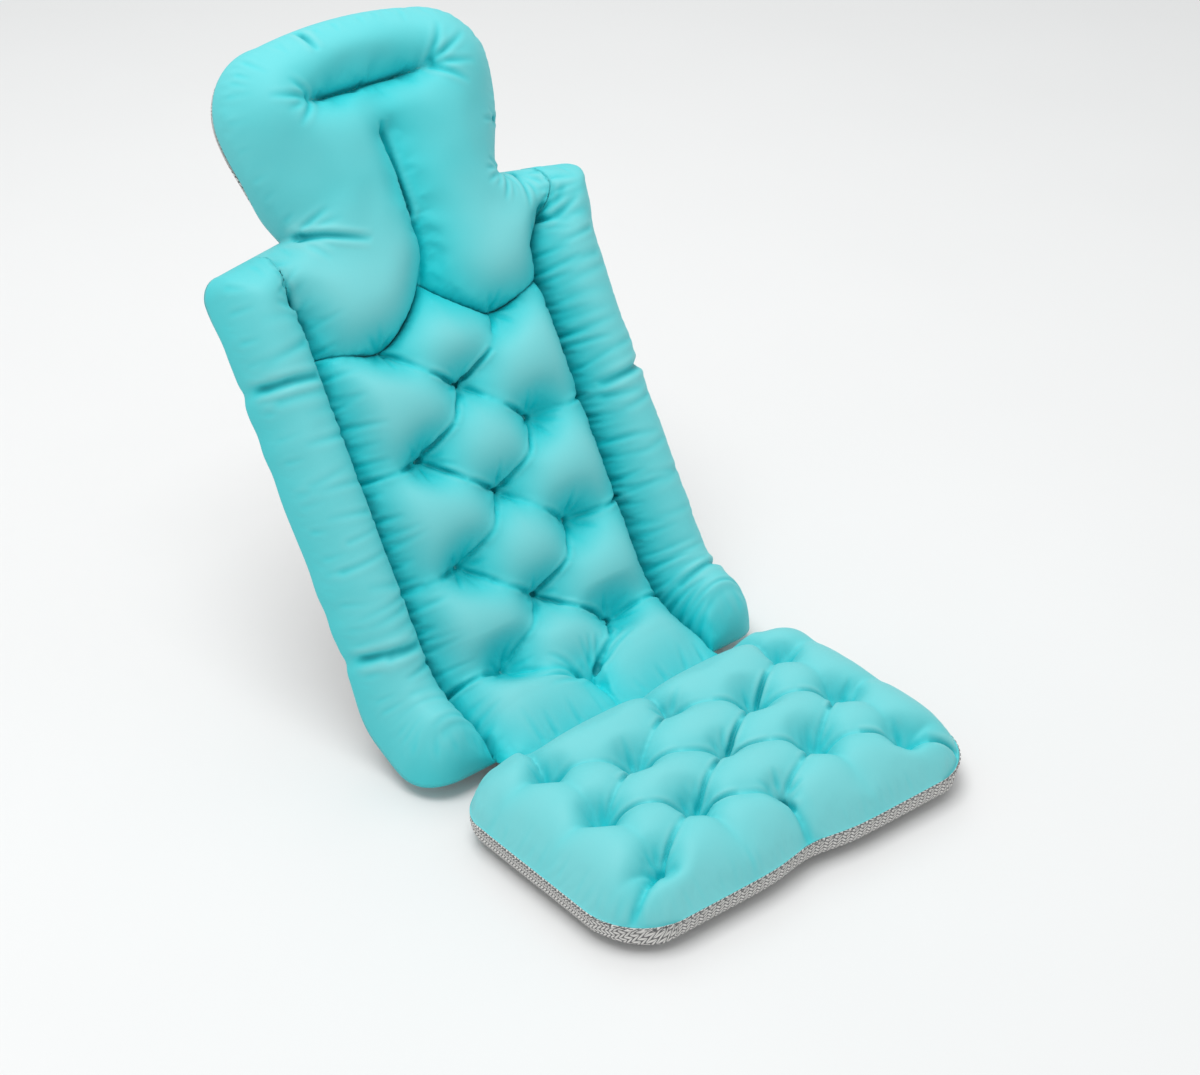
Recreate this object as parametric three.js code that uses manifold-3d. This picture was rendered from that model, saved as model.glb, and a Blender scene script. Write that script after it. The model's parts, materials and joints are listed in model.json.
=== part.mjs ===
// Full-body bath mat: a quilted seat pad, back pad and head pad with side bolsters, bent to a bath.
// Millimetres, +Z up. The origin lies on the bath floor under the middle of the crease seam,
// the seat points to -Y and the back rises towards +Y. Left is -X, as seen from the seat's front edge.
import * as THREE from 'three';
import Module from 'manifold-3d';

const wasm = await Module();
wasm.setup();

// Seat plan, measured flat from the crease seam
const SEAT_WIDTH = 400;
const SEAT_DEPTH = 250;
const SEAT_FRONT_CORNER = 58;
const SEAT_REAR_CORNER = 46;
const SEAT_TUFT_COLUMN = 67.5;
const SEAT_TUFT_ROW = 36.6;
const SEAT_FIRST_ROW = 62.5;
const SEAT_TUFT_ROWS = 5;
const SEAT_OUTER_COLUMN = 2;

// Back plan, measured along the mat from the crease seam
const BACK_WIDTH = 400;
const CHANNEL_SPACING = 256;
const SHOULDER_LENGTH = 518;
const SHOULDER_CORNER = 30;
const FOOT_TIP = 22;
const FOOT_CORNER = 36;
const BACK_TUFT_COLUMN = 63;
const BACK_TUFT_ROW = 52;
const BACK_FIRST_ROW = 41.5;
const LOBE_START = 457.5;
const LOBE_VALLEY_WIDTH = 46;
const LOBE_VALLEY_LENGTH = 130;

// Head plan
const NECK_LENGTH = 529;
const NECK_WIDTH = 234;
const HEAD_WIDTH = 290;
const HEAD_TOP = 700;
const HEAD_FLARE = 105;
const HEAD_CORNER = 66;
const CROSS_SEAM_LENGTH = 638;
const CROSS_SEAM_WIDTH = 124;
const CROSS_SEAM_SOFTNESS = 28;

// The bath that shapes the mat: floor, then a round corner, then the sloping end
const BEND_START = 40;
const BEND_RADIUS = 137;
const BEND_ANGLE = THREE.MathUtils.degToRad(57.5);

// Heights above the bath
const CUP_HEIGHT = 9;
const BACKING_THICKNESS = 4;
const SEAM_HEIGHT = 28;
const TUFT_HEIGHT = 40;
const SEAT_CROWN = 76;
const BACK_CROWN = 76;
const BOLSTER_CROWN = 72;
const HEAD_CROWN = 80;
const COVER_THICKNESS = 2;

// Rounding of the pads' edges, each the distance in from a seam to full height
const EDGE_ROLL = 50;
const BACKING_ROLL = 30;
const CREASE_ROLL = 50;
const CHANNEL_ROLL = 42;
const BOLSTER_ROLL = 30;
const FILLING_INSET = 9;

// Quilting
const VALLEY_DEPTH = 0.42;
const PUFF_ROUNDNESS = 0.9;
const VALLEY_ROUNDNESS = 0.6;
const TUFT_FADE = 44;
const GROOVE_WIDTH = 15;
const GROOVE_DEPTH = 0.4;

// Steps of the surfaces: between tufts, and across the pads between the insets at their edges
const QUILT_STEPS = 3;
const BOLSTER_STEPS = 3;
const BOLSTER_ROW = 60;
const HEAD_STEPS = 8;
const BACKING_STEPS = 4;

// Suction cups, pushed through the backing and held by a button inside
const CUP_RADIUS = 24;
const CUP_RIM = 3.6;
const CUP_WALL = 1.6;
const CUP_SHOULDER = 9.5;
const CUP_NECK = 4;
const CUP_BUTTON = 8;
const CUP_BUTTON_THICKNESS = 2;
const CUP_SIDES = 14;
const SEAT_CUP_SPACING = 288;
const SEAT_CUP_ROWS = [-68, -198];
const BACK_CUP_SPACING = 250;
const BACK_CUP_ROWS = [215, 425];
const HEAD_CUP_SPACING = 150;
const HEAD_CUP_ROWS = [630];

// Fits
const CLEARANCE = 0.3;
const CREASE_GAP = 1.8;
const FOLD_GAP = 0.4;

// Derived places
const CHANNEL = CHANNEL_SPACING / 2;
const LUMBAR_FOLD = BACK_FIRST_ROW + BACK_TUFT_ROW;
const BACKING_TOP = CUP_HEIGHT + BACKING_THICKNESS;
const SEAM_RISE = SEAM_HEIGHT - BACKING_TOP;
const COVER_SEAT = CLEARANCE + COVER_THICKNESS;
const FILLING_SEAT = CUP_BUTTON_THICKNESS + 2 * CLEARANCE;
const SHOULDER_WIDTH = BACK_WIDTH - 2 * SHOULDER_CORNER;

const clamp = THREE.MathUtils.clamp;
const smooth = (t) => THREE.MathUtils.smoothstep(t, 0, 1);

// Share of full height at a distance in from a seam: a quarter ellipse, or a quarter sine wave
const ellipseRoll = (d, reach) => Math.sqrt(1 - (1 - clamp(d / reach, 0, 1)) ** 2);
const sineRoll = (d, reach) => Math.sin((Math.PI / 2) * clamp(d / reach, 0, 1));

// A point of the mat: x across, s along the mat at tuft height, h square to the bath
function place(x, s, h) {
  const lengthRadius = BEND_RADIUS - TUFT_HEIGHT;
  const turn = clamp((s - BEND_START) / lengthRadius, 0, BEND_ANGLE);
  const past = s - BEND_START - turn * lengthRadius;
  const arm = BEND_RADIUS - h;
  const y = BEND_START + arm * Math.sin(turn) + past * Math.cos(turn);
  const z = BEND_RADIUS - arm * Math.cos(turn) + past * Math.sin(turn);
  return new THREE.Vector3(x, y, z);
}

function turnAt(s) {
  return clamp((s - BEND_START) / (BEND_RADIUS - TUFT_HEIGHT), 0, BEND_ANGLE);
}

// Half widths of the outlines along the mat
function cornerCut(distance, corner, cut) {
  return cut * (1 - Math.sqrt(1 - (1 - clamp(distance / corner, 0, 1)) ** 2));
}

function seatHalfWidth(s) {
  const front = cornerCut(s + SEAT_DEPTH, SEAT_FRONT_CORNER, SEAT_FRONT_CORNER);
  const rear = cornerCut(-s, SEAT_REAR_CORNER, SEAT_WIDTH / 2 - CHANNEL);
  return SEAT_WIDTH / 2 - front - rear;
}

function backHalfWidth(s) {
  const foot = cornerCut(s - FOOT_TIP, FOOT_CORNER, FOOT_CORNER);
  const shoulder = cornerCut(SHOULDER_LENGTH - s, SHOULDER_CORNER, SHOULDER_CORNER);
  const neck = clamp((s - SHOULDER_LENGTH) / (NECK_LENGTH - SHOULDER_LENGTH), 0, 1);
  return BACK_WIDTH / 2 - foot - shoulder - neck * (SHOULDER_WIDTH - NECK_WIDTH) / 2;
}

function centreHalfWidth(s) {
  const taper = smooth((s - SHOULDER_LENGTH + SHOULDER_CORNER) / (NECK_LENGTH - SHOULDER_LENGTH + SHOULDER_CORNER));
  return CHANNEL - taper * (CHANNEL - NECK_WIDTH / 2);
}

function headHalfWidth(s) {
  const flare = sineRoll(s - NECK_LENGTH, HEAD_FLARE) * (HEAD_WIDTH - NECK_WIDTH) / 2;
  return NECK_WIDTH / 2 + flare - cornerCut(HEAD_TOP - s, HEAD_CORNER, HEAD_CORNER);
}

// Top of the backing: flat on its cups, turned up to the seams of the outer edge and of the crease
function seatBase(x, s) {
  const side = 1 - ellipseRoll(seatHalfWidth(s) - Math.abs(x), BACKING_ROLL);
  const front = 1 - ellipseRoll(s + SEAT_DEPTH, BACKING_ROLL);
  const crease = 1 - sineRoll(-s, CREASE_ROLL);
  return BACKING_TOP + SEAM_RISE * Math.max(side, front, crease);
}

function backBase(x, s) {
  const fade = smooth((s - LUMBAR_FOLD) / EDGE_ROLL) * smooth((SHOULDER_LENGTH - s) / EDGE_ROLL - 0.3);
  const side = fade * (1 - ellipseRoll(backHalfWidth(s) - Math.abs(x), BACKING_ROLL));
  const crease = 1 - sineRoll(s, CREASE_ROLL);
  return BACKING_TOP + SEAM_RISE * Math.max(side, crease);
}

function headBase(x, s) {
  const fade = smooth((s - NECK_LENGTH) / EDGE_ROLL - 0.3);
  const side = fade * (1 - ellipseRoll(headHalfWidth(s) - Math.abs(x), BACKING_ROLL));
  const top = 1 - ellipseRoll(HEAD_TOP - s, BACKING_ROLL);
  return BACKING_TOP + SEAM_RISE * Math.max(side, top);
}

// Diamond quilting: 0 at a tuft, partly raised along the valleys between tufts, 1 at a puff's middle
function puff(x, s, column, row) {
  const u = Math.abs(Math.sin((Math.PI / 2) * (x / column + s / row)));
  const v = Math.abs(Math.sin((Math.PI / 2) * (x / column - s / row)));
  const dome = 1 - (1 - u ** PUFF_ROUNDNESS) * (1 - v ** PUFF_ROUNDNESS);
  return (1 - VALLEY_DEPTH) * dome + VALLEY_DEPTH * (u * v) ** VALLEY_ROUNDNESS;
}

// A groove in the padding between two points of the plan
function groove(x, s, from, to) {
  const line = new THREE.Line3(new THREE.Vector3(...from, 0), new THREE.Vector3(...to, 0));
  const point = new THREE.Vector3(x, s, 0);
  const near = line.closestPointToPoint(point, true, new THREE.Vector3());
  return 1 - GROOVE_DEPTH * Math.exp(-((near.distanceTo(point) / GROOVE_WIDTH) ** 2));
}

// Height of a cover: from its seat on the backing to the crown, held down to tuft height where quilted
function coverTop(base, crown, edge, quilt) {
  const low = base + COVER_SEAT;
  const tuft = clamp((TUFT_HEIGHT - low) / (crown - low), 0, 1);
  return low + (crown - low) * edge * (tuft + (1 - tuft) * quilt);
}

function seatTop(x, s) {
  const lastRow = -SEAT_FIRST_ROW - (SEAT_TUFT_ROWS - 1) * SEAT_TUFT_ROW;
  const outer = SEAT_OUTER_COLUMN * SEAT_TUFT_COLUMN;
  const fadeX = 1 - smooth((Math.abs(x) - outer) / TUFT_FADE);
  const fadeS = 1 - smooth(Math.max(s + SEAT_FIRST_ROW, lastRow - s) / TUFT_FADE);
  const cells = puff(x, s + SEAT_FIRST_ROW, SEAT_TUFT_COLUMN, SEAT_TUFT_ROW);
  const ax = Math.abs(x);
  const corner = SEAT_WIDTH / 2 - SEAT_FRONT_CORNER / 3;
  const grooves = groove(ax, s, [0, lastRow], [0, -SEAT_DEPTH])
    * groove(ax, s, [outer, lastRow], [corner, -SEAT_DEPTH])
    * groove(ax, s, [0, -SEAT_FIRST_ROW], [0, 0])
    * groove(ax, s, [outer, -SEAT_FIRST_ROW], [CHANNEL, 0]);
  const quilt = (1 - (1 - cells) * fadeX * fadeS) * grooves;
  const edge = ellipseRoll(seatHalfWidth(s) - ax, EDGE_ROLL) * ellipseRoll(s + SEAT_DEPTH, EDGE_ROLL)
    * sineRoll(-s - CREASE_GAP, CREASE_ROLL);
  return coverTop(seatBase(x, s), SEAT_CROWN, edge, quilt);
}

// The quilting of the back ends at the lobes, which a valley parts on the centre line
function lobeValley(x, s) {
  const along = smooth((s - LOBE_START) / TUFT_FADE) * (1 - smooth((s - LOBE_START) / LOBE_VALLEY_LENGTH));
  return 1 - along * (1 - sineRoll(Math.abs(x), LOBE_VALLEY_WIDTH));
}

function backQuilt(x, s) {
  const column = Math.min(Math.abs(x), BACK_TUFT_COLUMN);
  const cells = puff(column, s - BACK_FIRST_ROW, BACK_TUFT_COLUMN, BACK_TUFT_ROW);
  const outward = smooth((Math.abs(x) - BACK_TUFT_COLUMN) / (CHANNEL - BACK_TUFT_COLUMN));
  const arch = LOBE_START - BACK_TUFT_ROW * column / BACK_TUFT_COLUMN;
  const quilted = 1 - smooth((s - arch) / TUFT_FADE);
  return (1 - (1 - cells) * (1 - outward * (1 - VALLEY_DEPTH)) * quilted) * lobeValley(x, s);
}

function centreTop(x, s) {
  const edge = ellipseRoll(centreHalfWidth(s) - Math.abs(x), CHANNEL_ROLL) * sineRoll(s - CREASE_GAP, CREASE_ROLL);
  return coverTop(backBase(x, s), BACK_CROWN, edge, backQuilt(x, s));
}

function bolsterTop(x, s) {
  const ax = Math.abs(x);
  const inner = ellipseRoll(ax - centreHalfWidth(s), BOLSTER_ROLL);
  const outer = ellipseRoll(backHalfWidth(s) - ax, BOLSTER_ROLL);
  const ends = ellipseRoll(s - FOOT_TIP, EDGE_ROLL) * ellipseRoll(bolsterEnd(x) - s, EDGE_ROLL);
  return coverTop(backBase(x, s), BOLSTER_CROWN, inner * outer * ends, 1);
}

// The shoulder seam runs from the neck down to the bolster's outer corner
function bolsterEnd(x) {
  const out = clamp((Math.abs(x) - NECK_WIDTH / 2) / ((SHOULDER_WIDTH - NECK_WIDTH) / 2), 0, 1);
  return NECK_LENGTH - out * (NECK_LENGTH - SHOULDER_LENGTH) - CLEARANCE;
}

function headTop(x, s) {
  const edge = ellipseRoll(headHalfWidth(s) - Math.abs(x), EDGE_ROLL) * ellipseRoll(HEAD_TOP - s, EDGE_ROLL);
  const across = 1 - smooth((Math.abs(x) - CROSS_SEAM_WIDTH / 2) / CROSS_SEAM_SOFTNESS);
  const seam = 1 - across * (1 - sineRoll(Math.abs(s - CROSS_SEAM_LENGTH), CROSS_SEAM_SOFTNESS));
  return coverTop(headBase(x, s), HEAD_CROWN, edge, seam * lobeValley(x, s));
}

// A closed solid between two height fields on one grid of rows along s and columns across
function layer(rows, columns, upper, lower, diagonal = upper) {
  const count = columns(0).length;
  const plan = rows.map((row, i) => columns(i).map((x) => [x, typeof row === 'function' ? row(x) : row]));
  const positions = [];
  for (const height of [upper, lower]) {
    for (const [x, s] of plan.flat()) {
      positions.push(...place(x, s, height(x, s)));
    }
  }
  const size = rows.length * count;
  const index = [];
  const quad = (a, b, c, d, split) => {
    if (split) {
      index.push(a, b, c, a, c, d);
    } else {
      index.push(a, b, d, b, c, d);
    }
  };
  for (let i = 0; i + 1 < rows.length; i += 1) {
    for (let j = 0; j + 1 < count; j += 1) {
      const a = i * count + j;
      const d = a + count;
      const tall = (r, c) => diagonal(...plan[r][c]);
      const split = tall(i, j) + tall(i + 1, j + 1) <= tall(i, j + 1) + tall(i + 1, j);
      quad(a, a + 1, d + 1, d, split);
      quad(size + a + 1, size + a, size + d, size + d + 1, !split);
    }
  }
  const wall = (p, q) => quad(size + p, size + q, q, p, true);
  const last = size - count;
  for (let j = 0; j + 1 < count; j += 1) {
    wall(j, j + 1);
    wall(last + j + 1, last + j);
  }
  for (let i = 0; i < last; i += count) {
    wall(i + count, i);
    wall(i + count - 1, i + 2 * count - 1);
  }
  const geometry = new THREE.BufferGeometry();
  geometry.setAttribute('position', new THREE.Float32BufferAttribute(positions, 3));
  geometry.setIndex(index);
  return geometry;
}

// Evenly spaced values between two ends, about one step apart
function spaced(from, to, step) {
  const count = Math.max(1, Math.round((to - from) / step));
  return Array.from({ length: count + 1 }, (_, i) => from + (to - from) * i / count);
}

// Columns across a pad: a number of even steps between two insets, with the seam edges outside them
function columnsBetween(low, high, steps) {
  const start = low + FILLING_INSET;
  const width = high - FILLING_INSET - start;
  const inner = Array.from({ length: steps + 1 }, (_, i) => start + width * i / steps);
  return [low, ...inner, high];
}

const trimmed = (list) => list.slice(1, -1);

const COVER = new THREE.MeshStandardMaterial({ color: 0x8fcfdb, roughness: 0.75, metalness: 0 });
const FILLING = new THREE.MeshStandardMaterial({ color: 0xf3f3ef, roughness: 0.95, metalness: 0 });
const MESH = new THREE.MeshStandardMaterial({ color: 0x9ca3a8, roughness: 0.9, metalness: 0 });
const CLEAR = new THREE.MeshStandardMaterial({ color: 0xe2eaec, roughness: 0.2, metalness: 0 });

function named(name, geometry, material) {
  geometry.computeVertexNormals();
  const mesh = new THREE.Mesh(geometry, material);
  mesh.name = name;
  return mesh;
}

// A cover and the filling under it, on one grid, so that the two keep their clearance all over
function pad(name, rows, columns, top, base, fillRows = rows, fillColumns = columns) {
  const under = (x, s) => top(x, s) - COVER_THICKNESS;
  const fillTop = (x, s) => under(x, s) - CLEARANCE;
  const fillBase = (x, s) => base(x, s) + FILLING_SEAT;
  return [
    named(`${name}_cover`, layer(rows, columns, top, under), COVER),
    named(`${name}_filling`, layer(fillRows, fillColumns, fillTop, fillBase, top), FILLING),
  ];
}

// The suction cup, turned about its axis: button, neck, shoulder, skirt, flat rim and hollow
function cupGeometry() {
  const shoulder = CUP_HEIGHT - CLEARANCE;
  const button = BACKING_TOP + CLEARANCE;
  const outline = [
    [0, button + CUP_BUTTON_THICKNESS],
    [CUP_BUTTON, button + CUP_BUTTON_THICKNESS],
    [CUP_BUTTON, button],
    [CUP_NECK, button],
    [CUP_NECK, shoulder],
    [CUP_SHOULDER, shoulder],
    [(CUP_SHOULDER + CUP_RADIUS) / 2, shoulder * 0.62],
    [CUP_RADIUS, CUP_WALL],
    [CUP_RADIUS, 0],
    [CUP_RADIUS - CUP_RIM, 0],
    [CUP_SHOULDER, shoulder * 0.62 - CUP_WALL],
    [0, shoulder - 2 * CUP_WALL],
  ];
  return new THREE.LatheGeometry(outline.map(([r, h]) => new THREE.Vector2(r, h)).reverse(), CUP_SIDES);
}

function cupSpots(rows, spacing) {
  return rows.flatMap((s) => [[-spacing / 2, s], [spacing / 2, s]]);
}

function cup(name, [x, s]) {
  const mesh = named(name, cupGeometry(), CLEAR);
  mesh.position.copy(place(x, s, 0));
  mesh.rotation.x = Math.PI / 2 + turnAt(s);
  return mesh;
}

// Solids for cutting, on merged corner points
function solidOf(geometry) {
  const vertProperties = new Float32Array(geometry.attributes.position.array);
  const triVerts = new Uint32Array(geometry.index.array);
  const mesh = new wasm.Mesh({ numProp: 3, vertProperties, triVerts });
  return new wasm.Manifold(mesh);
}

function geometryOf(solid) {
  const { vertProperties, triVerts } = solid.getMesh();
  const geometry = new THREE.BufferGeometry();
  geometry.setAttribute('position', new THREE.BufferAttribute(vertProperties, 3));
  geometry.setIndex(new THREE.BufferAttribute(triVerts, 1));
  return geometry;
}

// A round cutter through the backing at a cup's neck: two rings of points and two end points
function neckCutter([x, s]) {
  const radius = (CUP_NECK + CLEARANCE) / Math.cos(Math.PI / CUP_SIDES);
  const turn = turnAt(s);
  const up = new THREE.Vector3(0, -Math.sin(turn), Math.cos(turn));
  const along = new THREE.Vector3(0, Math.cos(turn), Math.sin(turn));
  const ends = [CUP_HEIGHT - CUP_NECK, BACKING_TOP + CUP_NECK];
  const positions = [];
  for (const h of ends) {
    const centre = place(x, s, 0).addScaledVector(up, h);
    positions.push(...centre);
    for (let k = 0; k < CUP_SIDES; k += 1) {
      const angle = (2 * Math.PI * k) / CUP_SIDES;
      const point = centre.clone().addScaledVector(along, radius * Math.sin(angle));
      positions.push(point.x + radius * Math.cos(angle), point.y, point.z);
    }
  }
  const index = [];
  const upper = CUP_SIDES + 1;
  for (let k = 0; k < CUP_SIDES; k += 1) {
    const a = 1 + k;
    const b = 1 + (k + 1) % CUP_SIDES;
    index.push(0, b, a, upper, upper + a, upper + b);
    index.push(a, b, upper + b, a, upper + b, upper + a);
  }
  const geometry = new THREE.BufferGeometry();
  geometry.setAttribute('position', new THREE.Float32BufferAttribute(positions, 3));
  geometry.setIndex(index);
  return geometry;
}

function backing(name, rows, columns, base, cups) {
  const under = (x, s) => base(x, s) - BACKING_THICKNESS;
  let solid = solidOf(layer(rows, columns, base, under));
  for (const spot of cups) {
    solid = solid.subtract(solidOf(neckCutter(spot)));
  }
  return named(name, geometryOf(solid), MESH);
}

// Columns across a backing: close together where its edges turn up, even steps between
function backingColumns(half) {
  const edges = [0, FILLING_INSET, (FILLING_INSET + BACKING_ROLL) / 2].map((d) => half - d);
  const flat = half - BACKING_ROLL;
  const middle = Array.from({ length: BACKING_STEPS + 1 }, (_, i) => flat * (2 * i / BACKING_STEPS - 1));
  return [...edges.map((x) => -x), ...middle, ...edges.reverse()];
}

// Seat: rows follow the tufts, with closer rows where the edges roll
function makeSeat() {
  const firstRow = -SEAT_FIRST_ROW;
  const lastRow = firstRow - (SEAT_TUFT_ROWS - 1) * SEAT_TUFT_ROW;
  const step = SEAT_TUFT_ROW / QUILT_STEPS;
  const rows = [
    -SEAT_DEPTH,
    ...spaced(-SEAT_DEPTH + FILLING_INSET, lastRow, step).slice(0, -1),
    ...spaced(lastRow, firstRow, step),
    ...spaced(firstRow, -CREASE_GAP - FILLING_INSET, step).slice(1),
    -CREASE_GAP,
  ];
  const across = SEAT_TUFT_COLUMN / QUILT_STEPS;
  const outer = SEAT_OUTER_COLUMN * SEAT_TUFT_COLUMN;
  const side = spaced(outer, SEAT_WIDTH / 2 - FILLING_INSET, across).slice(1);
  const middle = spaced(-outer, outer, across);
  const nominal = [...side.map((x) => -x).reverse(), ...middle, ...side];
  const inner = (i) => {
    const scale = (seatHalfWidth(rows[i]) - FILLING_INSET) / (SEAT_WIDTH / 2 - FILLING_INSET);
    return nominal.map((x) => x * scale);
  };
  const columns = (i) => [-seatHalfWidth(rows[i]), ...inner(i), seatHalfWidth(rows[i])];
  const fillRows = trimmed(rows);
  const parts = pad('seat', rows, columns, seatTop, seatBase, fillRows, (i) => inner(i + 1));
  const cups = cupSpots(SEAT_CUP_ROWS, SEAT_CUP_SPACING);
  const meshRows = [...rows.slice(0, -1), -FOLD_GAP];
  const meshColumns = (i) => backingColumns(seatHalfWidth(rows[i]));
  const mesh = backing('seat_backing', meshRows, meshColumns, seatBase, cups);
  const names = ['rear_left', 'rear_right', 'front_left', 'front_right'];
  return [...parts, mesh, ...cups.map((spot, i) => cup(`seat_cup_${names[i]}`, spot))];
}

// Centre panel of the back between two folds, with columns on the tufts
function centreColumns(s) {
  const edge = centreHalfWidth(s) - CLEARANCE;
  const scale = (edge - FILLING_INSET) / (CHANNEL - CLEARANCE - FILLING_INSET);
  const step = BACK_TUFT_COLUMN / QUILT_STEPS;
  const side = spaced(BACK_TUFT_COLUMN, CHANNEL - CLEARANCE - FILLING_INSET, step).slice(1);
  const middle = spaced(-BACK_TUFT_COLUMN, BACK_TUFT_COLUMN, step);
  const nominal = [...side.map((x) => -x).reverse(), ...middle, ...side];
  return [-edge, ...nominal.map((x) => x * scale), edge];
}

// A bolster between its channel and the outer seam, on the side given by its sign
function bolsterColumns(s, sign) {
  const inner = centreHalfWidth(s) + CLEARANCE;
  const columns = columnsBetween(inner, backHalfWidth(s), BOLSTER_STEPS);
  return sign > 0 ? columns : columns.map((x) => -x).reverse();
}

function makeLumbar() {
  const step = BACK_TUFT_ROW / QUILT_STEPS;
  const foldEnd = LUMBAR_FOLD - FOLD_GAP;
  const first = CREASE_GAP + FILLING_INSET;
  const rows = [
    CREASE_GAP,
    ...spaced(first, BACK_FIRST_ROW, step).slice(0, -1),
    ...spaced(BACK_FIRST_ROW, foldEnd, step),
  ];
  const columns = (i) => centreColumns(rows[i]);
  const parts = pad('lumbar', rows, columns, centreTop, backBase, rows.slice(1), (i) => trimmed(columns(i + 1)));
  const footStart = FOOT_TIP + FILLING_INSET;
  const footRows = [FOOT_TIP, footStart, ...rows.filter((s) => s > footStart + CREASE_GAP)];
  for (const [side, sign] of [['left', -1], ['right', 1]]) {
    const across = (i) => bolsterColumns(footRows[i], sign);
    parts.push(...pad(`${side}_bolster_foot`, footRows, across, bolsterTop, backBase,
      footRows.slice(1), (i) => trimmed(across(i + 1))));
  }
  const ledge = FOOT_TIP - CLEARANCE;
  const plain = [FOLD_GAP, ...rows.slice(1).filter((s) => s < ledge - CLEARANCE), ledge];
  const meshRows = [...plain, ...footRows];
  const half = (s) => (s < FOOT_TIP ? CHANNEL : backHalfWidth(s));
  const meshColumns = (i) => backingColumns(half(meshRows[i]));
  return [...parts, backing('lumbar_backing', meshRows, meshColumns, backBase, [])];
}

function makeBack() {
  const step = BACK_TUFT_ROW / QUILT_STEPS;
  const foldStart = LUMBAR_FOLD + FOLD_GAP;
  const lastTuft = LOBE_START - BACK_TUFT_ROW;
  const end = NECK_LENGTH - CLEARANCE;
  const rows = [
    ...spaced(foldStart, lastTuft, step),
    ...spaced(lastTuft, end, step).slice(1),
  ];
  const bendEnd = BEND_START + (BEND_RADIUS - TUFT_HEIGHT) * BEND_ANGLE;
  const bent = rows.slice(0, rows.findIndex((s) => s > bendEnd) + 1);
  const cornerStart = SHOULDER_LENGTH - SHOULDER_CORNER;
  const long = [...bent, ...spaced(bent.at(-1), cornerStart, BOLSTER_ROW).slice(1, -1)];
  const columns = (i) => centreColumns(rows[i]);
  const parts = pad('back', rows, columns, centreTop, backBase, rows, (i) => trimmed(columns(i)));
  for (const [side, sign] of [['left', -1], ['right', 1]]) {
    const plain = [...long, ...spaced(cornerStart, SHOULDER_LENGTH - FILLING_INSET, FILLING_INSET), SHOULDER_LENGTH];
    const reach = SHOULDER_LENGTH - foldStart;
    const sloped = plain.map((s) => (x) => foldStart + (s - foldStart) * (bolsterEnd(x) - foldStart) / reach);
    const across = (i) => bolsterColumns(plain[i], sign);
    parts.push(...pad(`${side}_bolster`, sloped, across, bolsterTop, backBase,
      sloped.slice(0, -1), (i) => trimmed(across(i))));
  }
  const meshRows = [...long, ...spaced(cornerStart, SHOULDER_LENGTH, FILLING_INSET), end];
  const meshColumns = (i) => backingColumns(backHalfWidth(meshRows[i]));
  const cups = cupSpots(BACK_CUP_ROWS, BACK_CUP_SPACING);
  const mesh = backing('back_backing', meshRows, meshColumns, backBase, cups);
  const names = ['lower_left', 'lower_right', 'upper_left', 'upper_right'];
  return [...parts, mesh, ...cups.map((spot, i) => cup(`back_cup_${names[i]}`, spot))];
}

function makeHead() {
  const step = BACK_TUFT_ROW / QUILT_STEPS;
  const start = NECK_LENGTH + CLEARANCE;
  const rows = [
    ...spaced(start, CROSS_SEAM_LENGTH, step),
    ...spaced(CROSS_SEAM_LENGTH, HEAD_TOP - FILLING_INSET, step).slice(1),
    HEAD_TOP,
  ];
  const columns = (i) => columnsBetween(-headHalfWidth(rows[i]), headHalfWidth(rows[i]), HEAD_STEPS);
  const parts = pad('head', rows, columns, headTop, headBase, rows.slice(0, -1), (i) => trimmed(columns(i)));
  const cups = cupSpots(HEAD_CUP_ROWS, HEAD_CUP_SPACING);
  const meshColumns = (i) => backingColumns(headHalfWidth(rows[i]));
  const mesh = backing('head_backing', rows, meshColumns, headBase, cups);
  const names = ['left', 'right'];
  return [...parts, mesh, ...cups.map((spot, i) => cup(`head_cup_${names[i]}`, spot))];
}

const mat = new THREE.Group();
mat.add(...makeSeat(), ...makeLumbar(), ...makeBack(), ...makeHead());

export default mat;
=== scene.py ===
import json
import math

import bpy
import numpy as np
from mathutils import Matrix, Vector
from mathutils.geometry import delaunay_2d_cdt

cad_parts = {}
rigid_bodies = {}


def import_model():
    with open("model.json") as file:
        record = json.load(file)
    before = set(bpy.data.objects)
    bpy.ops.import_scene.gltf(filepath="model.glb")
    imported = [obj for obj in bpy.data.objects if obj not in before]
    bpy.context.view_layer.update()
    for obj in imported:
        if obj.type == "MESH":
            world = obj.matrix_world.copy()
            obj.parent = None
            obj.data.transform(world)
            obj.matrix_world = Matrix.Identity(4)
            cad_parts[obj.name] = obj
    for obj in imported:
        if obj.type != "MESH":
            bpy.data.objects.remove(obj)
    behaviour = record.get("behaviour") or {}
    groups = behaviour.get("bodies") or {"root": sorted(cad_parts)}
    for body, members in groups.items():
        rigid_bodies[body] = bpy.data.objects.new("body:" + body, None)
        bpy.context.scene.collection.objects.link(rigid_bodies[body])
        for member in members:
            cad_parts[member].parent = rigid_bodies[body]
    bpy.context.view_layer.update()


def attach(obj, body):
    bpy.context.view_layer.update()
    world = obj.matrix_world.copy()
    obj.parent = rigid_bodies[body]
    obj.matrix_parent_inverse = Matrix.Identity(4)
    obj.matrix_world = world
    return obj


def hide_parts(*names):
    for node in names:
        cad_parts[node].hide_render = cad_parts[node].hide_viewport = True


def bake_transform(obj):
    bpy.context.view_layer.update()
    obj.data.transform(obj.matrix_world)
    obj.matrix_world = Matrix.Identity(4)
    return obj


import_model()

bl_info = {
    "name": "Quilted Bath Mat",
    "version": (1, 0, 0),
    "blender": (4, 5, 0),
    "location": "View3D > Sidebar > Bath Mat",
    "description": "Stuffed covers, knitted backing, suction cups and stitching of a full-body bath mat",
    "category": "Object",
}


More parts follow.
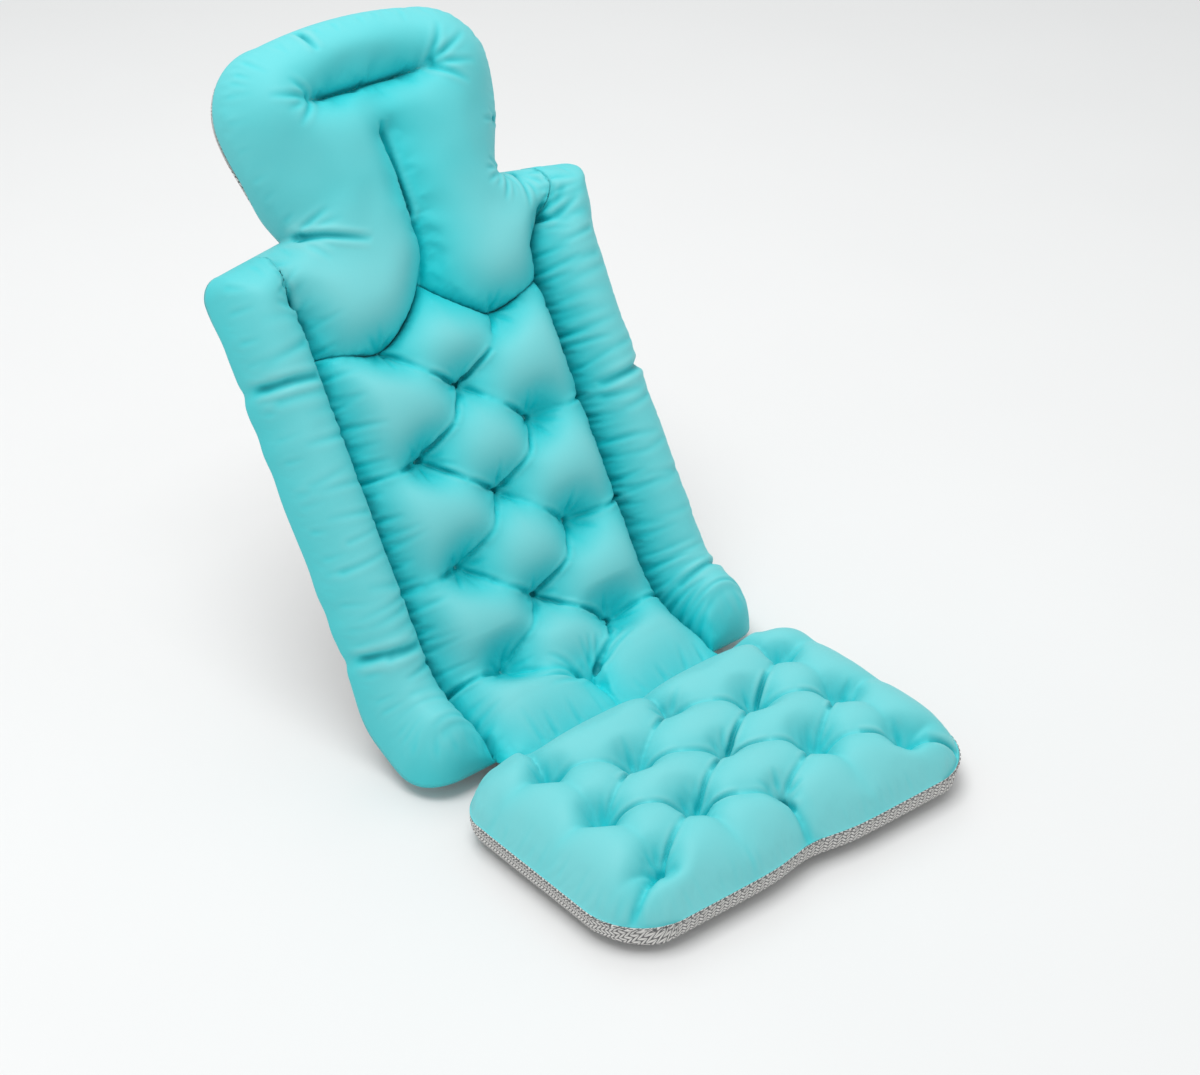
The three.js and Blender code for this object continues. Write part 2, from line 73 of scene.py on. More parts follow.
def length(name, description, default):
    """A size in metres."""
    return bpy.props.FloatProperty(
        name=name, description=description, default=default, unit="LENGTH", precision=4
    )


def colour(name, description, default):
    """A linear colour."""
    return bpy.props.FloatVectorProperty(
        name=name, description=description, default=default, size=3, subtype="COLOR", min=0, max=1
    )


def share(name, description, default):
    """A plain number."""
    return bpy.props.FloatProperty(name=name, description=description, default=default, precision=3)


class BathMatPlan(bpy.types.PropertyGroup):
    """Plan of the mat, flat, measured from the crease seam between seat and back."""

    seat_width: length("Seat width", "Across the seat, seam to seam", 0.400)
    seat_depth: length("Seat depth", "From the crease seam to the front seam", 0.250)
    seat_front_corner: length("Seat front corner", "Radius of the front corners", 0.058)
    seat_rear_corner: length("Seat rear corner", "Length of the rounded rear corners", 0.046)
    seat_tuft_column: length("Seat tuft column", "Between tuft columns", 0.0675)
    seat_tuft_row: length("Seat tuft row", "Between tuft rows", 0.0366)
    seat_first_row: length("Seat first row", "From the crease seam to the first tuft row", 0.0625)
    back_width: length("Back width", "Across the back, seam to seam", 0.400)
    channel: length("Channel", "From the centre line to a bolster's channel", 0.128)
    channel_flare: length("Channel flare", "How far the channel swings out at the shoulder", 0.016)
    shoulder: length("Shoulder", "From the crease seam to the shoulder seam", 0.518)
    shoulder_corner: length("Shoulder corner", "Radius of the shoulder corners", 0.021)
    foot_tip: length("Foot tip", "From the crease seam to the bolsters' lower ends", 0.022)
    foot_corner: length("Foot corner", "Radius of the bolsters' lower corners", 0.036)
    back_tuft_column: length("Back tuft column", "Between tuft columns", 0.063)
    back_tuft_row: length("Back tuft row", "Between tuft rows", 0.052)
    back_first_row: length("Back first row", "From the crease seam to the first tuft", 0.0415)
    lobe_join: length("Lobe join", "From the crease seam to where the neck lobes part", 0.453)
    lobe_seam_end: length("Lobe seam end", "Where the valley between the lobes runs out", 0.590)
    lobe_bow: length("Lobe bow", "How far the valley between the lobes bows", 0.006)
    neck: length("Neck", "From the crease seam to the neck", 0.529)
    neck_width: length("Neck width", "Across the neck", 0.226)
    head_width: length("Head width", "Across the head", 0.290)
    head_top: length("Head top", "From the crease seam to the top seam", 0.698)
    head_arch: length("Head arch", "How far the top seam bows up", 0.007)
    head_flare: length("Head flare", "Length over which the neck widens to the head", 0.105)
    head_corner: length("Head corner", "Radius of the head's corners", 0.066)
    cross_seam: length("Cross seam", "From the crease seam to the cross seam of the head", 0.638)
    cross_seam_width: length("Cross seam width", "Length of the cross seam", 0.124)
    seat_swing: length("Seat swing", "How far the seat's front lies to the right", 0.008)
    seat_slant: length("Seat slant", "How far the seat's right front corner lies ahead", 0.009)
    back_lean: length("Back lean", "How far the back lies to the left", 0.006)
    head_lean: length("Head lean", "How far the head lies to the right", 0.006)
    shoulder_spread: length("Shoulder spread", "How far the shoulders are pulled apart", 0.006)
    edge_ripple: length("Edge ripple", "How far the bolsters' outer seams ripple", 0.0006)
    edge_notch: length("Edge notch", "How far a pinch draws in a bolster's outer seam", 0.0022)
    seat_dent: length("Seat dent", "How far the front seam is pulled in at the middle", 0.007)
    crease_gap: length("Crease gap", "From the crease line to each pad", 0.0006)
    bend_start: length("Bend start", "Where the mat leaves the floor", 0.040)
    bend_radius: length("Bend radius", "Radius of the bend under the mat", 0.137)
    bend_angle: bpy.props.FloatProperty(
        name="Bend angle", description="Slope of the back", default=math.radians(57.5), subtype="ANGLE"
    )


class BathMatPadding(bpy.types.PropertyGroup):
    """Heights of the padding above the ground that it lies on, and how tightly it is stuffed."""

    cup_height: length("Cup height", "Backing above the ground", 0.009)
    backing: length("Backing", "Thickness of the knitted backing", 0.004)
    seam: length("Seam", "Height of the outer seam", 0.028)
    seat_seam: length("Seat seam", "Height of the seat's seam", 0.031)
    seat_tuft: length("Seat tuft", "Height of the seat's sewn tufts", 0.036)
    back_tuft: length("Back tuft", "Height of the back's sewn tufts", 0.032)
    seat_crown: length("Seat crown", "Height of the seat's border", 0.072)
    seat_middle: length("Seat middle", "Height of the seat's inner puffs", 0.081)
    back_crown: length("Back crown", "Height of the back's puffs", 0.079)
    low_back: length("Low back", "How much lower the puffs are beside the crease", 0.012)
    bolster_crown: length("Bolster crown", "Height of the bolsters", 0.078)
    head_crown: length("Head crown", "Height of the head", 0.082)
    seat_valley: share("Seat valley", "Share of the height taken halfway between two tufts", 0.30)
    dimple: share("Dimple", "Share of the height taken at a tuft of the seat", 0.80)
    back_valley: share("Back valley", "Share of the height taken halfway between two tufts", 0.46)
    crispness: share("Crispness", "How sharply the cover folds at a sewn line", 0.62)
    sag: length("Sag", "How far the valleys between tufts sag", 0.006)
    edge_roll: length("Edge roll", "From an outer seam to full height", 0.050)
    seat_backing_roll: length("Seat backing roll", "From the seat's seam to the flat of its backing", 0.006)
    backing_roll: length("Backing roll", "From an outer seam to the flat of the backing", 0.030)
    pillow_roll: length("Pillow roll", "From the head's side seams to full height", 0.085)
    crease_roll: length("Crease roll", "From the crease to full height", 0.050)
    channel_roll: length("Channel roll", "From a channel to full height of the centre", 0.040)
    bolster_roll: length("Bolster roll", "From the outer seam to full height of a bolster", 0.036)
    bolster_inner_roll: length("Bolster inner roll", "From a channel to full height of a bolster", 0.036)
    tile: length("Tile", "Size of the triangles that are simulated", 0.0034)
    swell: length("Swell", "The most that stuffing moves the cloth", 0.012)
    pressure: share("Pressure", "How hard the filling pushes", 9.0)
    ease: share("Ease", "Spare cloth at the seams and tufts", 0.035)
    slack: share("Slack", "Share of that ease in the middle of the puffs", 0.12)


class BathMatFinish(bpy.types.PropertyGroup):
    """Colours of the mat and the floor."""

    # The cover's colour carries a painted highlight as on a lit crown; the next two are the same cloth with
    # painted shade for the valleys and a painted shadow inside tight folds.
    fabric: colour("Fabric", "Smooth polyester cover, stretched over a crown", (0.178, 0.62, 0.645))
    fabric_painted_shade: colour("Fabric deep", "The same in the valleys", (0.0, 0.60, 0.65))
    fabric_painted_fold_shadow: colour("Fabric fold", "The same inside a tight fold", (0.0, 0.22, 0.26))
    thread: colour("Thread", "Stitching of the cover", (0.10, 0.60, 0.62))
    seam_thread: colour("Seam thread", "Stitching of the seat's seam", (0.16, 0.17, 0.17))
    knit_light: colour("Knit light", "Yarn of the backing", (0.78, 0.765, 0.74))
    knit_dark: colour("Knit dark", "Gaps in the backing", (0.12, 0.12, 0.122))
    clear: colour("Clear", "Suction cups", (0.90, 0.94, 0.95))
    floor: colour("Floor", "Floor and backdrop", (0.80, 0.81, 0.81))


PLAN = "bath_mat_plan"
PADDING = "bath_mat_padding"
FINISH = "bath_mat_finish"
BLOCK = 32
MIRROR = np.array([-1, 1])
# Height at which lengths along the mat are true, and the cover's rise at a sewn edge
NEUTRAL = 0.040
SEWN_RISE = 0.0008
# Rows of points close to the outer seams and to the channels
RINGS = (0.0004, 0.0016, 0.0036, 0.0064)
BESIDE_CHANNEL = (-0.0040, -0.0012, 0.0012, 0.0040)
# Rows of the backing where its edge turns up, as shares of the roll
TURN_UP = np.array([0, 0.012, 0.05, 0.12, 0.22, 0.36, 0.56, 0.78])
# Where each bolster is pinched, from the crease seam, and how wide a pinch is
PINCHES = {-1: (0.158, 0.412), 1: (0.092, 0.312)}
PINCH = 0.007
# Waves of the bolsters' outer seams
RIPPLE = 0.056
RIPPLE_DRIFT = 0.17
RIPPLE_IN = (0, 0.06)
RIPPLE_ACROSS = (0.13, 0.06)
# Where the mat leaves its straight line, as a start and a length along it, and how wide the pulls are
BACK_LEAN_IN = (0, 0.12)
BACK_LEAN_OUT = (0.40, 0.12)
HEAD_LEAN = (0.44, 0.09)
SEAT_DENT = (0.17, 0.07)
DENT_WIDTH = 0.032
SPREAD_FULL = 0.16
SPREAD_REACH = 0.06
# Where the low back and the head rise, as a start and a length along the mat
LOW_BACK_RISE = (0.03, 0.09)
HEAD_RISE = (0.46, 0.10)
# Depth and reach of the neck lobes' lower edge, how much shallower and how much higher it gets outwards
LOBE_DEPTH = 0.85
LOBE_REACH = 0.040
LOBE_SHALLOW = 0.3
LOBE_CLIMB = 0.014
# Below the shoulder, where a channel starts to run out
CHANNEL_END = 0.075
# How far the valleys reach up the puffs, and a dimple from its tuft
SEAT_REACH = 0.033
BACK_REACH = 0.038
DIMPLE_REACH = 0.022
# Held still round a tuft, half the length of a back tuft, how far the spare cloth reaches from tufts and
# seams, and how much of it an outer seam has
SEAT_TACK = 0.0045
BACK_TACK = 0.0035
BACK_TUFT_HALF = 0.006
TUFT_EASE = 0.022
SEAM_EASE = 0.016
OUTER_EASE = 0.35
# Steepest slope beside the crease, so that seat and back can close
CREASE_SLOPE = 0.60
# Half the gap in the cover along a channel, and over what length the painted shadow along the partings fades
# out above the lobes' join
PARTING = 0.0006
PARTING_PAINTED_SHADOW_FADE = 0.03
# The cover's wall: tucked under at a seam or a parting, and lying this far above the backing
TUCK = 0.0045
PARTING_TUCK = 0.0005
LIFT = 0.0035
UNDER_TILE = 0.016
# Limits of a crease, how close to an outer seam it fades, the crease depth that brings full painted shade,
# and where a painted fold shadow starts and over what depth it darkens
RIDGE = 0.0012
GROOVE = 0.0045
CREASE_FADE = 0.008
CREASE_PAINTED_SHADE_DEPTH = 0.006
FOLD_PAINTED_SHADOW_START = 0.0006
FOLD_PAINTED_SHADOW_DEPTH = 0.0024
# Step of an outline to measure from, and how far inside it the cloth is smoothed
RIM_STEP = 0.001
SMOOTH_INSET = 0.02
# Smoothing before and after the stuffing: crown at which it starts, over how much, and rounds
SEAT_SMOOTH = ((0.90, 0.08, 8), (0.75, 0.15, 3))
BACK_SMOOTH = ((0.45, 0.30, 50), (0.50, 0.20, 14))
# How far the seat's backing stands out past its cover
FLUSH = 0.0004
# Where the neck bends, from the crease seam
NECK_BEND = (0.510, 0.575)
# Suction cups: body, row, and distances from the centre line and from the crease seam
CUPS = [
    ("seat", "rear", 0.144, -0.068),
    ("seat", "front", 0.144, -0.198),
    ("back", "lower", 0.125, 0.215),
    ("back", "upper", 0.125, 0.425),
    ("head", "", 0.075, 0.630),
]
# Length and radius of the stitches at the tufts and on the cross seam
SEAT_KNOT = (0.0085, 0.0009)
BACK_STITCH = (0.013, 0.0010)
HEAD_STITCH = (0.005, 0.0007)
HEAD_STITCHES = 20
# The seat's seam: from stitch to stitch, the stitch as a share of that, its radius, inset and depth
SEAM_STEP = 0.0062
SEAM_SHARE = 0.72
SEAM_RADIUS = 0.0005
SEAM_INSET = 0.0009
SEAM_DROP = 0.0010
# The knit: from column to column and from row to row
KNIT_COLUMN = 0.0044
KNIT_ROW = 0.0038
# Lamps: name, place, size and power
LAMPS = [("key", (-0.7, 0.1, 4.0), 2.4, 92), ("top", (0.6, 1.2, 1.9), 1.0, 5)]
LAMP_AIM = Vector((0, 0.1, 0.2))


def plan():
    return getattr(bpy.context.scene, PLAN)


def padding():
    return getattr(bpy.context.scene, PADDING)


def finish():
    return getattr(bpy.context.scene, FINISH)


# Curves of one variable


def smooth(t):
    """0 to 1 with level ends: 3t^2 - 2t^3."""
    t = np.clip(t, 0, 1)
    return t * t * (3 - 2 * t)


def ramp(value, start, over):
    """0 to 1 with level ends, over a span of values that begins at start."""
    return smooth((value - start) / over)


def ellipse_roll(d, reach):
    """Share of full height at a distance in from a seam: a quarter ellipse."""
    return np.sqrt(1 - (1 - np.clip(d / reach, 0, 1)) ** 2)


def sine_roll(d, reach):
    """Share of full height at a distance in from a seam: a quarter sine wave."""
    return np.sin(np.pi / 2 * np.clip(d / reach, 0, 1))


def soft_roll(d, reach):
    """Share of full height at a distance in from a sewn line: a mean of a quarter ellipse and a parabola."""
    short = 1 - np.clip(d / reach, 0, 1)
    crisp = padding().crispness
    return crisp * np.sqrt(1 - short**2) + (1 - crisp) * (1 - short**2)


def corner_cut(d, corner, cut):
    """What a rounded corner takes off a half width, at a distance from the end."""
    return cut * (1 - ellipse_roll(d, corner))


def bump(d, width):
    """A soft ridge: exp of minus the squared distance in widths."""
    return np.exp(-((d / width) ** 2))


# From the flat plan to the bent mat


def lay(points):
    """The flat mat laid in its bent pose: x stays, s runs along the floor, round the bend and up the slope,
    and h stands square to it."""
    z = plan()
    x, s, h = points.T
    radius = z.bend_radius - NEUTRAL
    turn = np.clip((s - z.bend_start) / radius, 0, z.bend_angle)
    past = s - z.bend_start - turn * radius
    arm = z.bend_radius - h
    y = z.bend_start + arm * np.sin(turn) + past * np.cos(turn)
    up = z.bend_radius - arm * np.cos(turn) + past * np.sin(turn)
    return np.stack([x, y, up], 1)


def drape(points):
    """Laid as it really lies, not quite straight: the seat swings to the right, slants at its front and is
    pulled in at the middle of its front seam, the back leans to the left and the head to the right, and the
    bolsters' outer seams ripple and are drawn in where they are pinched."""
    z = plan()
    x, s, h = points.T
    front = smooth(-s / z.seat_depth)
    lean = -z.back_lean * ramp(s, *BACK_LEAN_IN) * (1 - ramp(s, *BACK_LEAN_OUT))
    spread = z.shoulder_spread * np.clip(x / SPREAD_FULL, -1, 1) * bump(s - z.shoulder, SPREAD_REACH)
    side = np.sign(x)
    drift = 1.7 * np.sin(2 * np.pi * s / RIPPLE_DRIFT + side)
    edge = z.edge_ripple * np.sin(2 * np.pi * s / RIPPLE + drift) * ramp(s, *RIPPLE_IN)
    for sign, places in PINCHES.items():
        for at in places:
            edge -= z.edge_notch * (side == sign) * bump(s - at, PINCH)
    edge *= side * ramp(np.abs(x), *RIPPLE_ACROSS)
    swing = z.seat_swing * front + lean + spread + edge + z.head_lean * ramp(s, *HEAD_LEAN)
    slant = z.seat_slant * front * x / (z.seat_width / 2)
    dent = z.seat_dent * bump(x, DENT_WIDTH) * ramp(-s, *SEAT_DENT)
    return lay(np.stack([x + swing, s - slant + dent, h], 1))


def spot(x, s, h):
    """One laid point, as a tuple."""
    return tuple(lay(np.array([[x, s, h]]))[0])


# Outlines


def seat_half(s):
    z = plan()
    front = corner_cut(s + z.seat_depth, z.seat_front_corner, z.seat_front_corner)
    rear = corner_cut(-s, z.seat_rear_corner, z.seat_width / 2 - z.channel)
    return z.seat_width / 2 - front - rear


def bolster_half(s):
    z = plan()
    foot = corner_cut(s - z.foot_tip, z.foot_corner, z.foot_corner)
    shoulder = corner_cut(z.shoulder - s, z.shoulder_corner, z.shoulder_corner)
    reach = z.back_width / 2 - z.shoulder_corner - z.neck_width / 2
    neck = np.clip((s - z.shoulder) / (z.neck - z.shoulder), 0, 1) * reach
    return np.where(s < z.foot_tip, z.channel, z.back_width / 2 - foot - shoulder - neck)


def head_half(s):
    z = plan()
    flare = sine_roll(s - z.neck, z.head_flare) * (z.head_width - z.neck_width) / 2
    return z.neck_width / 2 + flare - corner_cut(z.head_top - s, z.head_corner, z.head_corner)


def mat_half(s):
    return np.where(s < plan().neck, bolster_half(s), head_half(s))


def channel_at(s):
    """Half width of the centre panel: level, then swung out where the bolster ends at the shoulder."""
    z = plan()
    return z.channel + z.channel_flare * smooth((s - z.shoulder + CHANNEL_END) / 0.060)


def shoulder_at(x):
    """The shoulder seam, which falls from the neck to the bolster's outer corner."""
    z = plan()
    out = (np.abs(x) - z.neck_width / 2) / (z.back_width / 2 - z.shoulder_corner - z.neck_width / 2)
    return z.neck - np.clip(out, 0, 1) * (z.neck - z.shoulder)


def lobe_edge(x):
    """Lower edge of the neck lobes: it sags from the join on the centre line to the highest outer tuft, then
    climbs a little to the channel."""
    z = plan()
    low = z.back_first_row + 7 * z.back_tuft_row
    t = np.clip(np.abs(x) / z.back_tuft_column, 0, 1)
    round_part = low + (z.lobe_join - low) * (1 - t) ** 1.4
    return round_part + LOBE_CLIMB * ramp(np.abs(x), z.back_tuft_column, z.channel - z.back_tuft_column)


def lobe_bow(s):
    """How far the valley between the lobes bows to the right."""
    return plan().lobe_bow * bump(s - plan().lobe_join - 0.026, 0.028)


def eased(a, b, count=160):
    """Values from a to b, close together at both ends."""
    return a + (b - a) * (1 - np.cos(np.linspace(0, np.pi, count))) / 2


def seat_outline():
    """Stretches of the seat's seam, right side forwards and left side back."""
    z = plan()
    s = eased(-z.crease_gap, -z.seat_depth, 400)
    right = np.stack([seat_half(s), s], 1)
    left = (right * MIRROR)[::-1]
    x = np.linspace(right[-1, 0], left[0, 0], 120)
    front = np.stack([x, np.full_like(x, -z.seat_depth)], 1)
    rear = np.array([left[-1], right[0]])
    return [right, front, left, rear]


def back_outline():
    """Stretches of the back's seam, from the crease up the right side, over the head and down the left."""
    z = plan()
    start = np.array([[z.channel, z.crease_gap], [z.channel, z.foot_tip]])
    s = eased(z.foot_tip, z.shoulder, 500)
    side = np.vstack([start[1:], np.stack([bolster_half(s), s], 1)])
    top = np.array([side[-1], channel_top(), [z.neck_width / 2, z.neck]])
    t = eased(z.neck, z.head_top, 300)
    head = np.stack([head_half(t), t], 1)
    right = [start, side, top[:2], top[1:], head]
    left = [(part * MIRROR)[::-1] for part in reversed(right)]
    x = np.linspace(head[-1, 0], left[0][0, 0], 80)
    crown = np.stack([x, z.head_top + z.head_arch * (1 - (x / x[0]) ** 2)], 1)
    crease = np.array([left[-1][-1], start[0]])
    return [*right, crown, *left, crease]


def channel_top():
    """Where a channel meets the shoulder seam, on the right side."""
    x = channel_at(plan().shoulder + 0.01)
    return np.array([x, shoulder_at(x)])


def channel_line():
    """A channel on the right side, from the bolster's foot to the shoulder seam."""
    z = plan()
    top = channel_top()
    s = np.linspace(z.foot_tip, top[1], 200)
    line = np.stack([channel_at(s), s], 1)
    line[-1] = top
    return line


def lobe_line():
    """Lower edge of the right lobe, from the join to the channel."""
    x = eased(0, plan().channel, 200)
    return np.stack([x, lobe_edge(x)], 1)


# Triangulated panels


def resampled(points, step):
    """Points on a polyline, evenly spaced by its own length, both ends kept."""
    p = np.asarray(points, float)
    along = np.concatenate([[0], np.cumsum(np.hypot(*np.diff(p, axis=0).T))])
    t = np.linspace(0, along[-1], max(1, int(round(along[-1] / step))) + 1)
    return np.stack([np.interp(t, along, p[:, 0]), np.interp(t, along, p[:, 1])], 1)


def closed_rim(stretches, step):
    """One closed loop of evenly spaced points from stretches that follow each other."""
    return np.vstack([resampled(part, step)[:-1] for part in stretches])


def inside(points, rim):
    """Even-odd test of points against a closed loop, in blocks of its edges."""
    x, y = points[:, :1], points[:, 1:]
    crossings = np.zeros(len(points), int)
    for edges in np.array_split(np.hstack([rim, np.roll(rim, -1, 0)]), max(1, len(rim) // BLOCK)):
        ax, ay, bx, by = edges.T
        crossing = (ay > y) != (by > y)
        rise = np.where(ay == by, 1, by - ay)
        crossings += (crossing & (x < (bx - ax) * (y - ay) / rise + ax)).sum(1)
    return crossings % 2 == 1


def nearest(points, others):
    """Distance from each point to the nearest of the others, in blocks."""
    least = np.full(len(points), np.inf)
    for o in np.array_split(others, max(1, len(others) // BLOCK)):
        least = np.minimum(least, ((points[:, :1] - o[:, 0]) ** 2 + (points[:, 1:] - o[:, 1]) ** 2).min(1))
    return np.sqrt(least)


def off_line(points, line):
    """Distance from each point to the nearest stretch of an open polyline, in blocks."""
    x, y = points[:, :1], points[:, 1:]
    least = np.full(len(points), np.inf)
    for edges in np.array_split(np.hstack([line[:-1], line[1:]]), max(1, len(line) // BLOCK)):
        ax, ay, bx, by = edges.T
        dx, dy = bx - ax, by - ay
        t = np.clip(((x - ax) * dx + (y - ay) * dy) / np.maximum(dx * dx + dy * dy, 1e-18), 0, 1)
        least = np.minimum(least, ((x - ax - t * dx) ** 2 + (y - ay - t * dy) ** 2).min(1))
    return np.sqrt(least)


def rings(rim):
    """Closed loops just inside a counter-clockwise rim, close together where a cover rises steeply."""
    found = []
    for by in RINGS:
        ring = inward(rim, by)
        ring = ring[nearest(ring, rim) > 0.9 * by]
        found.append(np.vstack([ring, ring[:1]]))
    return found


def edges_of(triangles):
    """The three edges of every triangle, as pairs of points."""
    return np.vstack([triangles[:, [0, 1]], triangles[:, [1, 2]], triangles[:, [2, 0]]])


def tiled(rim, lines, step):
    """A flat panel as triangles: its rim, its sewn lines and an equilateral lattice between them, joined by
    a constrained Delaunay triangulation. Returns points, triangles and the rim's indices."""
    low, high = rim.min(0), rim.max(0)
    rise = step * math.sqrt(3) / 2
    j, i = np.mgrid[0 : int((high[1] - low[1]) / rise) + 2, 0 : int((high[0] - low[0]) / step) + 3]
    across = low[0] + (i + 0.5 * (j % 2) - 0.5) * step
    lattice = np.stack([across.ravel(), (low[1] + j * rise).ravel()], 1)
    fixed = np.vstack([rim, *lines])
    lattice = lattice[inside(lattice, rim)]
    lattice = lattice[nearest(lattice, fixed) > 0.62 * step]
    points = np.vstack([fixed, lattice])
    count = len(rim)
    edges = [(k, (k + 1) % count) for k in range(count)]
    start = count
    for line in lines:
        edges += [(start + k, start + k + 1) for k in range(len(line) - 1)]
        start += len(line)
    found = delaunay_2d_cdt([Vector(p) for p in points], edges, [list(range(count))], 1, 1e-6)
    verts = np.array([tuple(v) for v in found[0]])
    source = np.array([o[0] if o else -1 for o in found[3]])
    where = np.full(len(points), -1)
    where[source[source >= 0]] = np.nonzero(source >= 0)[0]
    return verts, np.array(found[2]), where[:count]


# Heights: the backing's upper face, then the covers before they are stuffed


def seat_base(x, s):
    z, p = plan(), padding()
    top = p.cup_height + p.backing
    side = 1 - ellipse_roll(seat_half(s) - np.abs(x), p.seat_backing_roll)
    front = 1 - ellipse_roll(s + z.seat_depth, p.seat_backing_roll)
    crease = 1 - sine_roll(-s, p.crease_roll)
    return top + np.maximum((p.seat_seam - top) * np.maximum(side, front), (p.seam - top) * crease)


def back_base(x, s):
    z, p = plan(), padding()
    top = p.cup_height + p.backing
    fold = z.back_first_row + z.back_tuft_row
    fade = ramp(s, fold, p.edge_roll) * smooth((z.shoulder - s) / p.edge_roll - 0.3)
    side = fade * (1 - ellipse_roll(bolster_half(s) - np.abs(x), p.backing_roll))
    crease = 1 - sine_roll(s, p.crease_roll)
    return top + (p.seam - top) * np.maximum(side, crease)


def head_base(x, s):
    z, p = plan(), padding()
    top = p.cup_height + p.backing
    fade = smooth((s - z.neck) / p.edge_roll - 0.3)
    side = fade * (1 - ellipse_roll(head_half(s) - np.abs(x), p.backing_roll))
    crown = 1 - ellipse_roll(z.head_top - s, p.backing_roll)
    return top + (p.seam - top) * np.maximum(side, crown)


def mat_base(x, s):
    return np.where(s < plan().neck, back_base(x, s), head_base(x, s))


def beside(x, s, start, end, sag=0):
    """Share of the way along a line between two points of the plan, and the distance from it. The line sags
    on its right, as a parabola."""
    a, d = np.array(start), np.array(end) - np.array(start)
    long = np.hypot(*d)
    along = ((x - a[0]) * d[0] + (s - a[1]) * d[1]) / long**2
    t = np.clip(along, 0, 1)
    across = ((x - a[0]) * d[1] - (s - a[1]) * d[0]) / long
    return t, np.hypot(across - 4 * sag * t * (1 - t), (along - t) * long)


def valley(x, s, start, end, ends, middle, reach, sag=0):
    """Share of full height near a valley between two points of the plan. The valley takes away the share ends
    at both ends and middle halfway, and runs out at its reach."""
    t, away = beside(x, s, start, end, sag)
    depth = ends + (middle - ends) * np.sin(np.pi * t) ** 0.8
    return 1 - depth * (1 - soft_roll(away, reach))


def trough(x, s, start, end, first, last, reach):
    """Share of full height near a valley whose depth goes from first to last along it."""
    t, away = beside(x, s, start, end)
    return 1 - (first + (last - first) * smooth(t)) * (1 - soft_roll(away, reach))


def cover_top(base, crown, edge, quilt, height):
    """From the backing to the crown, held down to tuft height where quilted."""
    low = base + SEWN_RISE
    tuft = np.clip((height - low) / (crown - low), 0, 1)
    return low + (crown - low) * edge * (tuft + (1 - tuft) * quilt)


def seat_top(x, s, rim):
    """Height of the seat's cover, and how far it stands out of its valleys: rolled edges, and puffs parted by
    valleys from tuft to tuft and out to the seams."""
    z, p = plan(), padding()
    ax = np.abs(x)
    row = seat_tuft_rows()
    column, side, front = z.seat_tuft_column, 2 * z.seat_tuft_column, -z.seat_depth
    quilt = np.ones_like(x)
    for start, end in seat_valleys():
        quilt *= valley(ax, s, start, end, 0.42, p.seat_valley, SEAT_REACH)
    for r in (0, 2):
        quilt *= valley(ax, s, (side, row[r]), (side, row[r + 2]), 0.36, 0.24, SEAT_REACH)
    # From, to, depth at both ends and reach
    troughs = [
        ((0, row[4]), (0, front), 0.50, 0.60, 0.024),
        ((side, row[4]), (z.seat_width / 2 - 0.022, front + 0.022), 0.65, 0.62, 0.026),
        ((0, row[0]), (0, 0), 0.40, 0.35, 0.030),
        ((side, row[0]), (z.channel - 0.006, 0), 0.50, 0.40, 0.024),
        *(((side, row[r]), (z.seat_width / 2, row[r]), 0.40, 0.12, 0.030) for r in (0, 2, 4)),
        ((column, row[3]), (column, front), 0.40, 0.10, 0.030),
    ]
    for place in troughs:
        quilt *= trough(ax, s, *place)
    points = np.stack([x, s], 1)
    quilt *= 1 - p.dimple * (1 - ellipse_roll(nearest(points, seat_tufts()), DIMPLE_REACH))
    inset = off_line(points, rim[rim[:, 1] < -0.004])
    crease = sine_roll(-s - z.crease_gap, p.crease_roll)
    crease += (1 - crease) * smooth((ax - z.channel + 0.020) / 0.035)
    edge = ellipse_roll(inset, p.edge_roll) * crease
    crown = p.seat_crown + (p.seat_middle - p.seat_crown) * smooth(inset / 0.09)
    # The second value, how far the cloth stands out, also sets the cover's painted highlight on crowns and
    # painted shade in valleys; the painted shade deepens towards the crease seam.
    openness_and_painted_light = np.sqrt(quilt * (0.65 + 0.35 * crease))
    return cover_top(seat_base(x, s), crown, edge, quilt, p.seat_tuft), openness_and_painted_light


